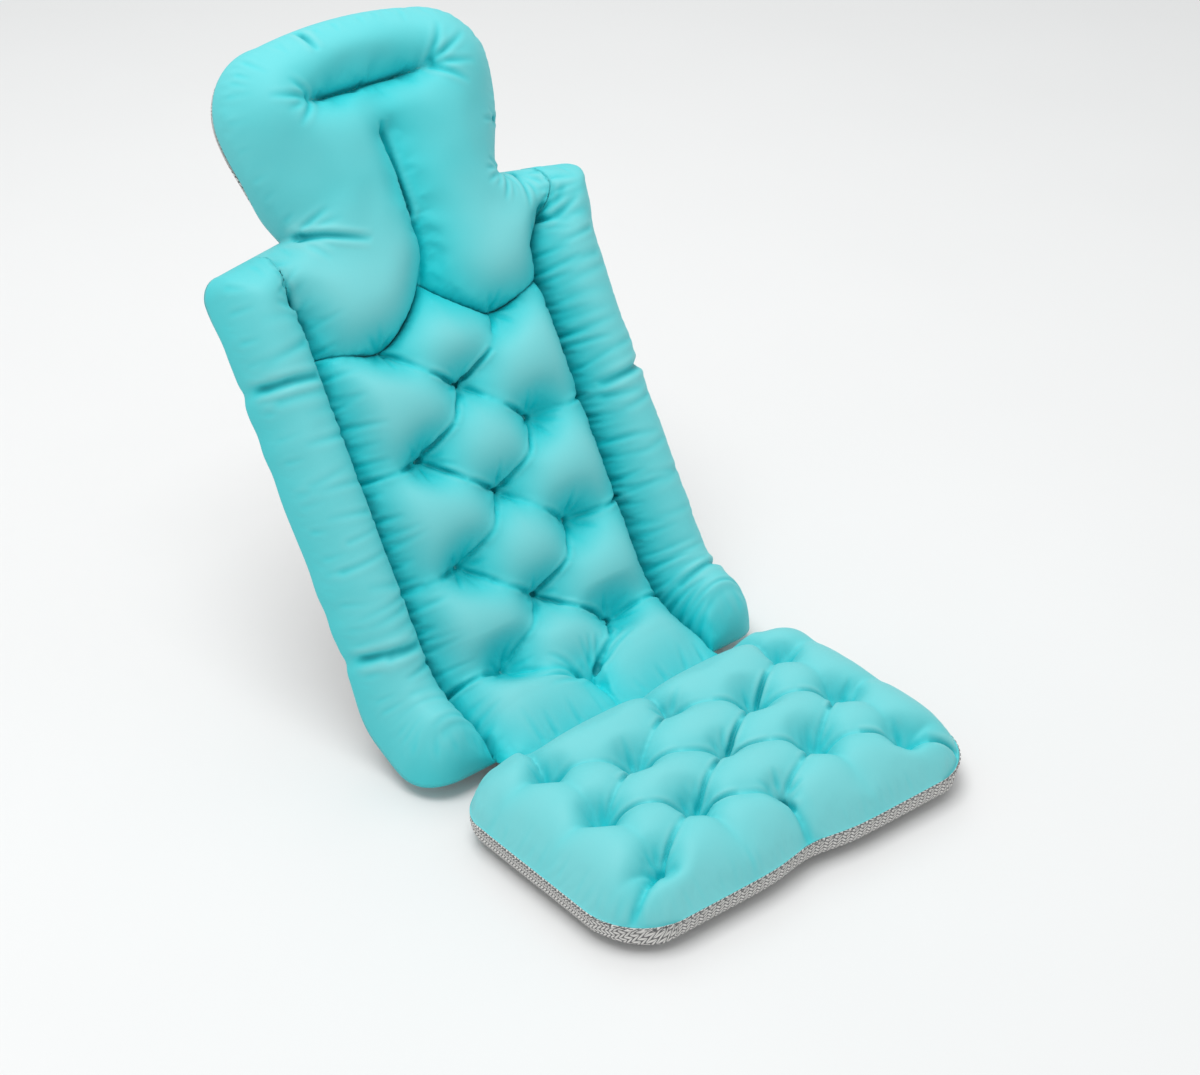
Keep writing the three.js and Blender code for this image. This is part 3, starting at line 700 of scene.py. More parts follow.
def back_top(x, s, rim):
    """Height of the back's and head's cover, and how far it stands out of its valleys: rolled edges, channels
    beside the bolsters, puffs parted by valleys from tuft to tuft and out to the channels, the neck lobes and
    the cross seam of the head."""
    z, p = plan(), padding()
    ax = np.abs(x)
    points = np.stack([x, s], 1)
    outer = off_line(points, rim[rim[:, 1] > z.foot_tip - 0.002])
    pillow = smooth((z.cross_seam - s) / 0.05)
    edge = ellipse_roll(outer, p.edge_roll + (p.pillow_roll - p.edge_roll) * pillow)
    side_edge = ellipse_roll(outer, p.bolster_roll)
    gap = ax - channel_at(s)
    closed = 1 - smooth((s - z.shoulder + CHANNEL_END) / 0.072)
    groove_in = 1 - closed * (1 - soft_roll(-gap, p.channel_roll))
    groove_out = 1 - closed * (1 - ellipse_roll(gap, p.bolster_inner_roll))
    column, row = z.back_tuft_column, back_tuft_rows()
    quilt = np.ones_like(x)
    for start, end in back_valleys():
        quilt *= valley(ax, s, start, end, 0.85, p.back_valley, BACK_REACH, p.sag)
    for r in (1, 3, 5):
        quilt *= trough(ax, s, (column, row[r]), (z.channel, row[r]), 0.75, 0.28, 0.050)
    quilt *= trough(ax, s, (0, row[0]), (0, 0), 1.0, 0.4, 0.034)
    lobes = lobe_line()
    near_lobe = off_line(points, np.vstack([lobes[::-1] * MIRROR, lobes]))
    lobe_depth = LOBE_DEPTH - LOBE_SHALLOW * ramp(ax, column, 0.05)
    quilt *= 1 - lobe_depth * (1 - soft_roll(near_lobe, LOBE_REACH))
    bent = x - lobe_bow(s)
    slope = 0.062 + 0.016 * np.clip(bent / 0.012, -1, 1)
    quilt *= trough(bent, s, (0, z.lobe_join), (0, z.lobe_seam_end), 1.0, 0.70, slope)
    half = z.cross_seam_width / 2
    knee = 0.6 * half
    reach = 0.038 + 0.004 * np.clip((s - z.cross_seam) / 0.02, -1, 1)
    held = trough(ax, s, (0, z.cross_seam), (knee, z.cross_seam), 1.0, 1.0, reach)
    loose = trough(ax, s, (knee, z.cross_seam), (half, z.cross_seam), 1.0, 0.55, reach)
    quilt *= np.minimum(held, loose)
    crease = sine_roll(s - z.crease_gap, p.crease_roll)
    rise = ramp(s, *HEAD_RISE)
    low = p.low_back * (1 - ramp(s, *LOW_BACK_RISE))
    crown = p.back_crown + (p.head_crown - p.back_crown) * rise - low
    free = ramp(s, z.foot_tip, 0.02) * smooth((s - z.shoulder + 0.12) / 0.06)
    centre_edge = 1 - free * (1 - edge)
    centre = cover_top(mat_base(x, s), crown, centre_edge * groove_in * crease, quilt, p.back_tuft)
    bolster = cover_top(mat_base(x, s), p.bolster_crown, side_edge * groove_out, 1, p.back_tuft)
    outside = (gap > 0) & (s < z.neck)
    # The second value, how far the cloth stands out, also sets the painted highlight and shade: bolsters get
    # painted shade towards the channel and the outer seam, the centre towards the crease seam, and the head a
    # little all over.
    openness_out_and_painted_light = groove_out * (0.52 + 0.37 * side_edge)
    openness_in_and_painted_light = quilt * groove_in * (0.65 + 0.35 * crease) * (1 - 0.18 * rise)
    return np.where(outside, bolster, centre), np.where(outside, openness_out_and_painted_light, openness_in_and_painted_light)


def seat_tuft_rows():
    """Where the seat's five rows of tufts lie, from the crease seam."""
    z = plan()
    return [-z.seat_first_row - r * z.seat_tuft_row for r in range(5)]


def back_tuft_rows():
    """Where the back's eight rows of tufts lie, from the crease seam."""
    z = plan()
    return [z.back_first_row + r * z.back_tuft_row for r in range(8)]


def seat_tufts():
    """Thirteen tufts: three across in odd rows, two across in even rows."""
    spots = [(c, row) for r, row in enumerate(seat_tuft_rows()) for c in range(-2 + r % 2, 3, 2)]
    return np.array(spots) * [plan().seat_tuft_column, 1]


def back_tufts():
    """Twelve tufts: one on the centre line, then a pair beside it, turn by turn up the back."""
    row = back_tuft_rows()
    middle = [(0, row[r]) for r in range(0, 8, 2)]
    pairs = [(side, row[r]) for r in range(1, 8, 2) for side in (-1, 1)]
    return np.array(middle + pairs) * [plan().back_tuft_column, 1]


# Stuffing


def relaxed(values, triangles, crown, inset, start, over, rounds):
    """Columns of values after rounds of averaging with their neighbours, as far as a point stands high on a
    crown and lies inside the seams."""
    free = ramp(crown, start, over) * inset
    a, b = np.unique(np.sort(edges_of(triangles), 1), axis=0).T
    count = len(values)
    links = np.maximum(np.bincount(a, minlength=count) + np.bincount(b, minlength=count), 1)
    for _ in range(rounds):
        around = [np.bincount(a, v[b], count) + np.bincount(b, v[a], count) for v in values.T]
        values = values + 0.5 * free[:, None] * (np.stack(around, 1) / links[:, None] - values)
    return values


def stuffed(name, start, triangles, pins, ease):
    """Simulated cloth under the filling's pressure: pinned points stay, the rest swells by the cloth's ease,
    and no point moves further than the swell allows."""
    p = padding()
    piece = new_piece(name + "_stuffing", start, triangles)
    held = piece.vertex_groups.new(name="sewn")
    held.add(np.nonzero(pins)[0].tolist(), 1.0, "REPLACE")
    spare = piece.vertex_groups.new(name="taut")
    levels = np.round((1 - ease) * 20).astype(int)
    for level in np.unique(levels):
        spare.add(np.nonzero(levels == level)[0].tolist(), level / 20, "REPLACE")
    cloth = piece.modifiers.new("Stuffing", "CLOTH")
    c = cloth.settings
    c.quality = 6
    c.mass = 0.3
    c.air_damping = 1.0
    c.tension_stiffness = c.compression_stiffness = c.shear_stiffness = 15
    c.bending_stiffness = 0.4
    c.use_pressure = True
    c.uniform_pressure_force = p.pressure
    c.pressure_factor = 0
    c.vertex_group_mass = "sewn"
    c.vertex_group_shrink = "taut"
    c.shrink_min = -p.ease
    c.shrink_max = 0
    c.effector_weights.gravity = 0
    cloth.collision_settings.use_collision = False
    last = 20
    cloth.point_cache.frame_end = last
    scene = bpy.context.scene
    for step in range(1, last + 1):
        scene.frame_set(step)
    graph = bpy.context.evaluated_depsgraph_get()
    evaluated = piece.evaluated_get(graph)
    moved = np.zeros(len(start) * 3)
    evaluated.to_mesh().vertices.foreach_get("co", moved)
    evaluated.to_mesh_clear()
    bpy.data.objects.remove(piece)
    scene.frame_set(1)
    shift = moved.reshape(-1, 3) - start
    far = np.linalg.norm(shift, axis=1, keepdims=True)
    return start + shift * np.minimum(1, p.swell / np.maximum(far, 1e-9))


# Meshes


def new_piece(name, points, faces, uv=None):
    """A smooth mesh object at the origin from point and face arrays, with a plan map if given."""
    mesh = bpy.data.meshes.new(name)
    mesh.from_pydata(np.asarray(points).tolist(), [], [list(map(int, f)) for f in faces])
    mesh.polygons.foreach_set("use_smooth", np.ones(len(mesh.polygons), bool))
    if uv is not None:
        corner = np.zeros(len(mesh.loops), np.int32)
        mesh.loops.foreach_get("vertex_index", corner)
        layer = mesh.uv_layers.new(name="Plan")
        layer.data.foreach_set("uv", np.asarray(uv, np.float32)[corner].ravel())
    mesh.validate()
    piece = bpy.data.objects.new(name, mesh)
    bpy.context.scene.collection.objects.link(piece)
    return piece


def rim_loop(triangles):
    """The outer loop of a panel's triangles, in order, from the edges that only one triangle has."""
    edges = edges_of(triangles)
    size = edges.max() + 1
    key = edges[:, 0] * size + edges[:, 1]
    back = edges[:, 1] * size + edges[:, 0]
    open_edges = edges[~np.isin(key, back)]
    following = dict(open_edges.tolist())
    loop = [open_edges[0, 0]]
    while following[loop[-1]] != loop[0]:
        loop.append(following[loop[-1]])
    return np.array(loop)


def inward(loop, by):
    """A closed loop, counter-clockwise, moved to its inner side."""
    along = np.roll(loop, -1, 0) - np.roll(loop, 1, 0)
    normal = np.stack([-along[:, 1], along[:, 0]], 1)
    return loop + by * normal / np.maximum(np.linalg.norm(normal, axis=1, keepdims=True), 1e-9)


def finer(values, triangles):
    """One step of Loop's subdivision of the values at the corners of triangles: edge points weigh 3/8 for the
    ends and 1/8 for the opposite corners, inner points keep 5/8 of themselves, and rim points stay."""
    pairs, where = np.unique(np.sort(edges_of(triangles), 1), axis=0, return_inverse=True)
    where = where.ravel()
    opposite = np.concatenate([triangles[:, 2], triangles[:, 0], triangles[:, 1]])
    uses = np.bincount(where, minlength=len(pairs))
    far = np.zeros((len(pairs), values.shape[1]))
    np.add.at(far, where, values[opposite])
    ends = values[pairs[:, 0]] + values[pairs[:, 1]]
    middle = np.where((uses == 2)[:, None], 0.375 * ends + 0.125 * far, 0.5 * ends)
    around = np.zeros_like(values)
    np.add.at(around, pairs[:, 0], values[pairs[:, 1]])
    np.add.at(around, pairs[:, 1], values[pairs[:, 0]])
    links = np.bincount(pairs.ravel(), minlength=len(values))[:, None]
    kept = 0.625 * values + 0.375 * around / links
    rim = np.unique(pairs[uses == 1])
    kept[rim] = values[rim]
    a, b, c = triangles.T
    ab, bc, ca = len(values) + where.reshape(3, -1)
    faces = np.vstack([np.stack(f, 1) for f in ((a, ab, ca), (b, bc, ab), (c, ca, bc), (ab, bc, ca))])
    return np.vstack([kept, middle]), faces


def outward(points, triangles):
    """Unit normals at the corners of triangles, weighed by area."""
    a, b, c = (points[triangles[:, k]] for k in range(3))
    normal = np.zeros_like(points)
    square = np.cross(b - a, c - a)
    for k in range(3):
        np.add.at(normal, triangles[:, k], square)
    return normal / np.maximum(np.linalg.norm(normal, axis=1, keepdims=True), 1e-12)


def creased(flat, creases):
    """Depth of the cloth's creases over the plan. Each crease is a start, an end, a depth, a width and a
    fade: a groove with a low ridge on each side, deepest at its start."""
    depth = np.zeros(len(flat))
    for x0, s0, x1, s1, deep, wide, fade in creases:
        d = np.array([x1 - x0, s1 - s0])
        reach = 0.5 * np.hypot(*d) + 4 * wide
        near = np.nonzero(np.abs(flat - [(x0 + x1) / 2, (s0 + s1) / 2]).max(1) < reach)[0]
        x, s = flat[near, 0] - x0, flat[near, 1] - s0
        t = np.clip((x * d[0] + s * d[1]) / (d @ d), 0, 1)
        away = np.hypot(x - t * d[0], s - t * d[1])
        groove = bump(away, wide) - 0.35 * bump(away - 2.1 * wide, wide)
        depth[near] += deep * (1 - t) ** fade * groove
    return np.clip(depth, -RIDGE, GROOVE)


def closed_pad(name, flat, cloth, triangles, outer, crown, base, creases):
    """A stuffed top closed into a cushion: made finer, creased, and walled in from its rim to an underside on
    the backing. flat holds the plan's points, cloth the stuffed ones in plan coordinates, outer marks the
    outer seam, and crown tells how far the cloth stands out of its valleys."""
    used = np.unique(triangles)
    new = np.full(len(flat), -1)
    new[used] = np.arange(len(used))
    values, triangles = finer(np.column_stack([cloth, flat, outer, crown])[used], new[triangles])
    cloth, flat, outer, crown = values[:, :3], values[:, 3:5], values[:, 5] > 0.99, values[:, 6]
    loop = rim_loop(triangles)
    depth = creased(flat, creases) * smooth(nearest(flat, flat[loop[outer[loop]]]) / CREASE_FADE)
    depth[loop] = 0
    cloth = cloth - outward(cloth, triangles) * depth[:, None]
    tuck = np.where(outer[loop], TUCK, PARTING_TUCK)
    under, below, order = tiled(inward(cloth[loop, :2], tuck[:, None]), [], UNDER_TILE)
    deep = base(under[:, 0], under[:, 1]) + LIFT
    top = len(cloth)
    points = np.vstack([cloth, np.column_stack([under, deep])])
    lower = top + order
    wall = np.stack([np.roll(loop, -1), loop, lower, np.roll(lower, -1)], 1)
    faces = [*triangles, *wall, *(top + below[:, ::-1])]
    piece = new_piece(name, drape(points), faces, np.vstack([flat, under]))
    # Painted shadow: the cloth is darkened inside deep creases, and along the partings of channels and lobes
    # up to the lobes' join.
    fold = np.clip((depth - FOLD_PAINTED_SHADOW_START) / FOLD_PAINTED_SHADOW_DEPTH, 0, 1)
    parted = loop[~outer[loop]]
    fold[parted] = 1 - ramp(flat[parted, 1], plan().lobe_join, PARTING_PAINTED_SHADOW_FADE)
    # Painted highlight and shade: the crown value, lowered in creases, makes the cloth paler on crowns and
    # deeper in valleys; both values are stored on the points for the material.
    painted_light_and_shade = {"CrownPaintedLight": np.clip(crown - depth / CREASE_PAINTED_SHADE_DEPTH, 0, 1), "FoldPaintedShadow": fold}
    for word, look in painted_light_and_shade.items():
        whole = np.concatenate([look, np.zeros(len(under))]).astype(np.float32)
        piece.data.attributes.new(word, "FLOAT", "POINT").data.foreach_set("value", whole)
    return piece


def fan(at, toward, spread, count, reach, deep, wide, rng):
    """Creases that spread from one point, about a direction in degrees."""
    steps = np.linspace(-0.5, 0.5, count) + rng.uniform(-0.3, 0.3, count) / count
    turn = np.radians(toward + spread * steps)
    far = reach * rng.uniform(0.6, 1.15, count)
    depth = deep * rng.uniform(0.5, 1.1, count)
    x, s = at
    c, n = np.cos(turn), np.sin(turn)
    near = 2 * wide
    ends = zip(x + near * c, s + near * n, x + far * c, s + far * n, depth)
    return [(*end, wide, 0.8) for end in ends]


def puckers(line, step, reach, deep, wide, rng, off=0):
    """Short creases square to a sewn line, on its left, unevenly spaced and some way off it."""
    along = np.concatenate([[0], np.cumsum(np.hypot(*np.diff(line, axis=0).T))])
    at = np.cumsum(rng.uniform(0.4, 1.9, int(along[-1] / step)) * step)
    at = at[at < along[-1] - 0.004]
    x, s = np.interp(at, along, line[:, 0]), np.interp(at, along, line[:, 1])
    dx = np.interp(at + 0.002, along, line[:, 0]) - np.interp(at - 0.002, along, line[:, 0])
    ds = np.interp(at + 0.002, along, line[:, 1]) - np.interp(at - 0.002, along, line[:, 1])
    turn = np.arctan2(ds, dx) + np.pi / 2 + rng.uniform(-0.35, 0.35, len(at))
    far = reach * rng.uniform(0.4, 1.3, len(at))
    depth = deep * rng.uniform(0.35, 1.1, len(at))
    c, n = np.cos(turn), np.sin(turn)
    ends = zip(x + off * c, s + off * n, x + (off + far) * c, s + (off + far) * n, depth)
    return [(*end, wide, 0.8) for end in ends]


def fold_lines(lines, sag, deep, wide, rng):
    """Creases along the valleys between pairs of points, from both ends to the sagging middle, on both sides
    of the centre line."""
    found = []
    for start, end in lines:
        a, b = np.array(start), np.array(end)
        right = np.array([b[1] - a[1], a[0] - b[0]]) / np.hypot(*(b - a))
        middle = (a + b) / 2 + sag * right
        for side in (1, -1):
            for point in (a, b):
                depth = deep * rng.uniform(0.1, 1.25)
                found.append((point[0] * side, point[1], middle[0] * side, middle[1], depth, wide, 0.35))
    return found


def seat_valleys():
    """Pairs of tufts with a valley between them, on the right half of the seat."""
    column, row = plan().seat_tuft_column, seat_tuft_rows()
    return [((c * column, row[r + r % 2]), (column, row[r + 1 - r % 2])) for r in range(4) for c in (0, 2)]


def back_valleys():
    """Pairs of tufts with a valley between them, on the right half of the back."""
    column, row = plan().back_tuft_column, back_tuft_rows()
    return [((0, row[r + r % 2]), (column, row[r + 1 - r % 2])) for r in range(7)]


def seat_creases():
    """Creases along the seat's valleys, at its front corners and the middle of its front, fans at its tufts
    and puckers along its seam."""
    z = plan()
    rng = np.random.default_rng(11)
    found = fold_lines(seat_valleys(), 0, 0.0036, 0.0020, rng)
    last = seat_tuft_rows()[-1]
    corner = (z.seat_width / 2 - 0.020, 0.020 - z.seat_depth)
    found += fold_lines([((2 * z.seat_tuft_column, last), corner)], 0.001, 0.0040, 0.0030, rng)
    found += fold_lines([((0, last), (0.003, 0.004 - z.seat_depth))], 0, 0.0026, 0.0028, rng)
    for at in seat_tufts():
        found += fan(at, rng.uniform(0, 360), 330, 6, 0.022, 0.0015, 0.0022, rng)
    rim = np.vstack(seat_outline()[:3])[::-1]
    return found + puckers(rim, 0.012, 0.016, 0.0006, 0.0022, rng)


def back_creases():
    """Creases along the valleys, fans at the tufts, the ends of the cross seam and the neck, single creases
    at the neck, between the lobes and at the head's top, the bolsters' own, and puckers along the seams."""
    z = plan()
    rng = np.random.default_rng(23)
    found = fold_lines(back_valleys(), padding().sag, 0.0036, 0.0021, rng)
    outward_rows = [((z.back_tuft_column, s), (z.channel, s)) for s in back_tuft_rows()[1:6:2]]
    found += fold_lines(outward_rows, 0.002, 0.0024, 0.0022, rng)
    for at in back_tufts():
        found += fan(at, rng.uniform(0, 360), 330, 6, 0.026, 0.0016, 0.0022, rng)
    found += fan((0.006, z.back_first_row), 52, 70, 6, 0.060, 0.0026, 0.0024, rng)
    found += fan((-0.006, z.back_first_row), 150, 60, 4, 0.050, 0.0022, 0.0024, rng)
    crease = np.array([[-z.channel, 0.004], [z.channel, 0.004]])
    found += puckers(crease, 0.018, 0.024, 0.0012, 0.0024, rng)
    half, neck = z.cross_seam_width / 2, z.neck_width / 2
    # Place, direction, spread, count, reach, depth and width
    fans = [
        ((-half, z.cross_seam), 175, 90, 4, 0.048, 0.0024, 0.0028),
        ((half, z.cross_seam), 8, 85, 4, 0.050, 0.0024, 0.0028),
        ((-neck, z.neck), -20, 80, 5, 0.036, 0.0020, 0.0026),
        ((neck, z.neck), 215, 120, 7, 0.034, 0.0026, 0.0024),
        ((neck + 0.01, z.neck - 0.002), -65, 60, 4, 0.042, 0.0028, 0.0024),
        ((head_half(0.575) - 0.002, 0.575), 180, 40, 3, 0.030, 0.0024, 0.0024),
    ]
    for place in fans:
        found += fan(*place, rng)
    found.append((-neck, z.neck, -neck + 0.058, z.neck - 0.026, 0.0045, 0.0030, 0.6))
    found.append((lobe_bow(0.515), 0.515, -0.003, z.lobe_seam_end + 0.012, 0.0036, 0.0028, 0.3))
    found.append((-0.045, z.head_top + z.head_arch, -0.041, z.head_top - 0.022, 0.0032, 0.0030, 0.5))
    for side in (-1, 1):
        found += bolster_creases(side, rng)
    for part in back_outline():
        if part[:, 1].max() > z.foot_tip + 0.001:
            found += puckers(part, 0.016, 0.014, 0.0006, 0.0024, rng, 0.008)
    return found


def bolster_creases(side, rng):
    """A fan at the shoulder, puckers on both sides of a channel, wrinkles across the bolster and pinches."""
    z = plan()
    top = channel_at(z.shoulder - 0.05) * side
    found = fan((top, z.shoulder - 0.052), 90 - 38 * side, 50, 3, 0.040, 0.0032, 0.0030, rng)
    line = channel_line() * [side, 1]
    found += puckers(line, 0.014, 0.016, 0.0008, 0.0022, rng)
    found += puckers(line[::-1], 0.013, 0.030, 0.0013, 0.0024, rng)
    s = z.foot_tip + 0.02
    while s < z.shoulder - 0.03:
        inner, outer = z.channel + rng.uniform(0, 0.02), z.back_width / 2 - rng.uniform(0.010, 0.03)
        lean = rng.uniform(-0.008, 0.008)
        ends = (inner * side, s, outer * side, s + lean)
        if rng.uniform() < 0.5:
            ends = (outer * side, s + lean, inner * side, s)
        found.append((*ends, rng.uniform(0.0003, 0.0013), rng.uniform(0.0024, 0.0046), 0.5))
        s += rng.uniform(0.010, 0.032)
    edge, inner = z.back_width / 2 * side, (z.channel + 0.01) * side
    return found + [(edge, at, inner, at - 0.006, 0.0034, 0.0040, 0.3) for at in PINCHES[side]]


# Operators


def eased_cloth(name, start, triangles, pins, spare):
    """Stuffed cloth, with its ease shared out from the spare cloth at tufts and seams."""
    slack = padding().slack
    return stuffed(name, start, triangles, pins, slack + (1 - slack) * spare)


def marked(count, chosen):
    """A mask of the chosen points."""
    mask = np.zeros(count, bool)
    mask[chosen] = True
    return mask


class BATHMAT_OT_seat(bpy.types.Operator):
    """Stuffs the seat's tufted cover"""

    bl_idname = "bathmat.seat"
    bl_label = "Seat pad"

    def execute(self, context):
        z, p = plan(), padding()
        rim = closed_rim(seat_outline(), p.tile)[::-1]
        flat, triangles, edge = tiled(rim, rings(rim), p.tile)
        x, s = flat.T
        close = closed_rim(seat_outline(), RIM_STEP)
        height, crown = seat_top(x, s, close)
        inset = smooth(off_line(flat, close) / SMOOTH_INSET)
        height = relaxed(height[:, None], triangles, crown, inset, *SEAT_SMOOTH[0])
        start = np.column_stack([flat, height])
        start[edge, 2] = seat_base(x, s)[edge] + SEWN_RISE
        outer = marked(len(flat), edge)
        tuft = nearest(flat, seat_tufts())
        pins = (tuft < SEAT_TACK) | (nearest(flat, close) < RINGS[-2]) | outer
        spare = np.maximum(bump(tuft, TUFT_EASE), OUTER_EASE * bump(nearest(flat, rim), SEAM_EASE))
        cloth = eased_cloth("seat", start, triangles, pins, spare)
        cloth = relaxed(cloth, triangles, crown, inset, *SEAT_SMOOTH[1])
        limit = -np.maximum(z.crease_gap, (cloth[:, 2] - p.seam) * CREASE_SLOPE)
        cloth[:, 1] = np.minimum(cloth[:, 1], limit)
        piece = closed_pad("seat_pad", flat, cloth, triangles, outer, crown, seat_base, seat_creases())
        piece.data.materials.append(fabric())
        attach(piece, "seat")
        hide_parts("seat_cover", "seat_filling")
        return {"FINISHED"}


class BATHMAT_OT_back(bpy.types.Operator):
    """Stuffs the cover of back, bolsters and head in one, and parts it along its sewn lines"""

    bl_idname = "bathmat.back"
    bl_label = "Back pads"

    def execute(self, context):
        z, p = plan(), padding()
        rim = closed_rim(back_outline(), p.tile)
        channel = resampled(channel_line(), p.tile)
        lobe = resampled(lobe_line(), p.tile)
        s = np.linspace(z.lobe_join, z.lobe_seam_end, 120)
        bow = lobe_bow(s)
        bow[0] = 0
        valley_line = resampled(np.stack([bow, s], 1), p.tile)
        half = z.cross_seam_width / 2
        cross = resampled([[-half, z.cross_seam], [half, z.cross_seam]], p.tile)
        close_by = [channel[3:-6] + [off, 0] for off in BESIDE_CHANNEL]
        lines = [channel, channel * MIRROR, lobe, lobe * MIRROR, valley_line, cross, *rings(rim)]
        lines += close_by + [line * MIRROR for line in close_by]
        flat, triangles, edge = tiled(rim, lines, p.tile)
        x, s = flat.T
        close = closed_rim(back_outline(), RIM_STEP)
        height, crown = back_top(x, s, close)
        centre = (np.abs(x) < channel_at(s)) | (s > z.shoulder)
        inset = smooth(off_line(flat, close) / SMOOTH_INSET)
        height = relaxed(height[:, None], triangles, crown, centre * inset, *BACK_SMOOTH[0])
        start = np.column_stack([flat, height])
        start[edge, 2] = mat_base(x, s)[edge] + SEWN_RISE
        outer = marked(len(flat), edge)
        shifts = (-BACK_TUFT_HALF, 0, BACK_TUFT_HALF)
        tuft = nearest(flat, np.vstack([back_tufts() + [0, shift] for shift in shifts]))
        sewn = np.vstack([channel, channel * MIRROR, cross, valley_line[: int(len(valley_line) * 0.75)]])
        seam = nearest(flat, sewn)
        pins = (tuft < BACK_TACK) | (seam < 1e-5) | (nearest(flat, close) < RINGS[-2]) | outer
        near_seam = np.maximum(bump(seam, SEAM_EASE), OUTER_EASE * bump(nearest(flat, rim), SEAM_EASE))
        spare = np.maximum(bump(tuft, TUFT_EASE), near_seam)
        cloth = eased_cloth("back", start, triangles, pins, spare)
        cloth = relaxed(cloth, triangles, crown, inset, *BACK_SMOOTH[1])
        limit = np.maximum(z.crease_gap, (cloth[:, 2] - p.seam) * CREASE_SLOPE)
        cloth[:, 1] = np.where(s < z.foot_tip + 0.05, np.maximum(cloth[:, 1], limit), cloth[:, 1])
        mid_x, mid_s = flat[triangles].mean(1).T
        roll = (np.abs(mid_x) > channel_at(mid_s)) & (mid_s < shoulder_at(mid_x))
        above = ~roll & (mid_s > lobe_edge(mid_x))
        parts = {
            "back_pad": ~roll & ~above,
            "head_pillow": above,
            "left_bolster_roll": roll & (mid_x < 0),
            "right_bolster_roll": roll & (mid_x > 0),
        }
        creases = back_creases()
        along_channel = (s < z.shoulder) & (s > z.foot_tip)
        for name, chosen in parts.items():
            part = cloth.copy()
            width = np.abs(part[:, 0])
            if "roll" in name:
                held = np.maximum(width, channel_at(s) + PARTING)
            else:
                held = np.minimum(width, channel_at(s) - PARTING)
            part[:, 0] = np.where(along_channel, np.sign(part[:, 0]) * held, part[:, 0])
            piece = closed_pad(name, flat, part, triangles[chosen], outer, crown, mat_base, creases)
            piece.data.materials.append(fabric())
            if name == "head_pillow":
                fold_neck(piece)
                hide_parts("head_cover", "head_filling")
            else:
                fold_lumbar(piece)
        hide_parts("back_cover", "back_filling", "lumbar_cover", "lumbar_filling")
        for side in ("left", "right"):
            rolls = [f"{side}_bolster", f"{side}_bolster_foot"]
            names = [f"{roll}_{layer}" for roll in rolls for layer in ("cover", "filling")]
            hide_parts(*names)
        return {"FINISHED"}


def fold_lumbar(piece):
    """Bakes the piece's place into its mesh; the ends of the bend between the floor and the slope are found
    but not used.
    """
    z, p = plan(), padding()
    end = z.bend_start + (z.bend_radius - NEUTRAL) * z.bend_angle
    spot(0, z.bend_start, p.seam)
    spot(0, end, p.seam)
    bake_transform(piece)


def fold_neck(piece):
    """Bakes the piece's place into its mesh; the ends of the bend at the neck are found but not used."""
    start, end = (spot(0, s, padding().seam) for s in NECK_BEND)
    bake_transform(piece)


def grid_faces(rows, columns):
    """Quads of a grid of points, row by row, wound upwards."""
    k = np.arange(rows * columns).reshape(rows, columns)
    return np.stack([k[:-1, :-1], k[:-1, 1:], k[1:, 1:], k[1:, :-1]], -1).reshape(-1, 4)


def backing_shell(name, rows, half, base, arch=0):
    """The knitted backing as a grid of rows along the mat and columns across, close together where its edges
    turn up: an upper face, an under face one thickness below, and a wall round them."""
    p = padding()
    insets = p.backing_roll * TURN_UP
    middle = np.linspace(-1, 1, 25)
    width = half(rows)[:, None]
    flat_width = width - p.backing_roll
    x = np.hstack([-(width - insets), flat_width * middle, (width - insets)[:, ::-1]])
    s = np.repeat(rows[:, None], x.shape[1], 1)
    upper = np.stack([x, s, base(x, s)], -1)
    upper[..., 1] += arch * smooth((s - rows[-1]) / p.backing_roll + 1) * (1 - (x / width) ** 2)
    lower = upper - [0, 0, p.backing]
    count = x.shape[1]
    across = np.cumsum(np.linalg.norm(np.diff(lower, axis=1, prepend=lower[:, :1]), axis=-1), 1)
    across -= across[:, count // 2, None]
    along = np.cumsum(np.linalg.norm(np.diff(lower, axis=0, prepend=lower[:1]), axis=-1), 0)
    uv = np.stack([across, along[:, count // 2, None] + 0 * across], -1).reshape(-1, 2)
    size = len(rows) * count
    faces = grid_faces(len(rows), count)
    k = np.arange(size).reshape(len(rows), count)
    ring = np.concatenate([k[0, :-1], k[:-1, -1], k[-1, :0:-1], k[:0:-1, 0]])
    wall = np.stack([ring, ring + size, np.roll(ring, -1) + size, np.roll(ring, -1)], 1)
    everything = np.vstack([faces, faces[:, ::-1] + size, wall])
    points = np.vstack([upper.reshape(-1, 3), lower.reshape(-1, 3)])
    turned = uv + p.backing * np.stack([np.sign(x), np.ones_like(x)], -1).reshape(-1, 2)
    piece = new_piece(name, drape(points), everything, np.vstack([turned, uv]))
    piece.data.materials.append(knit())
    return piece


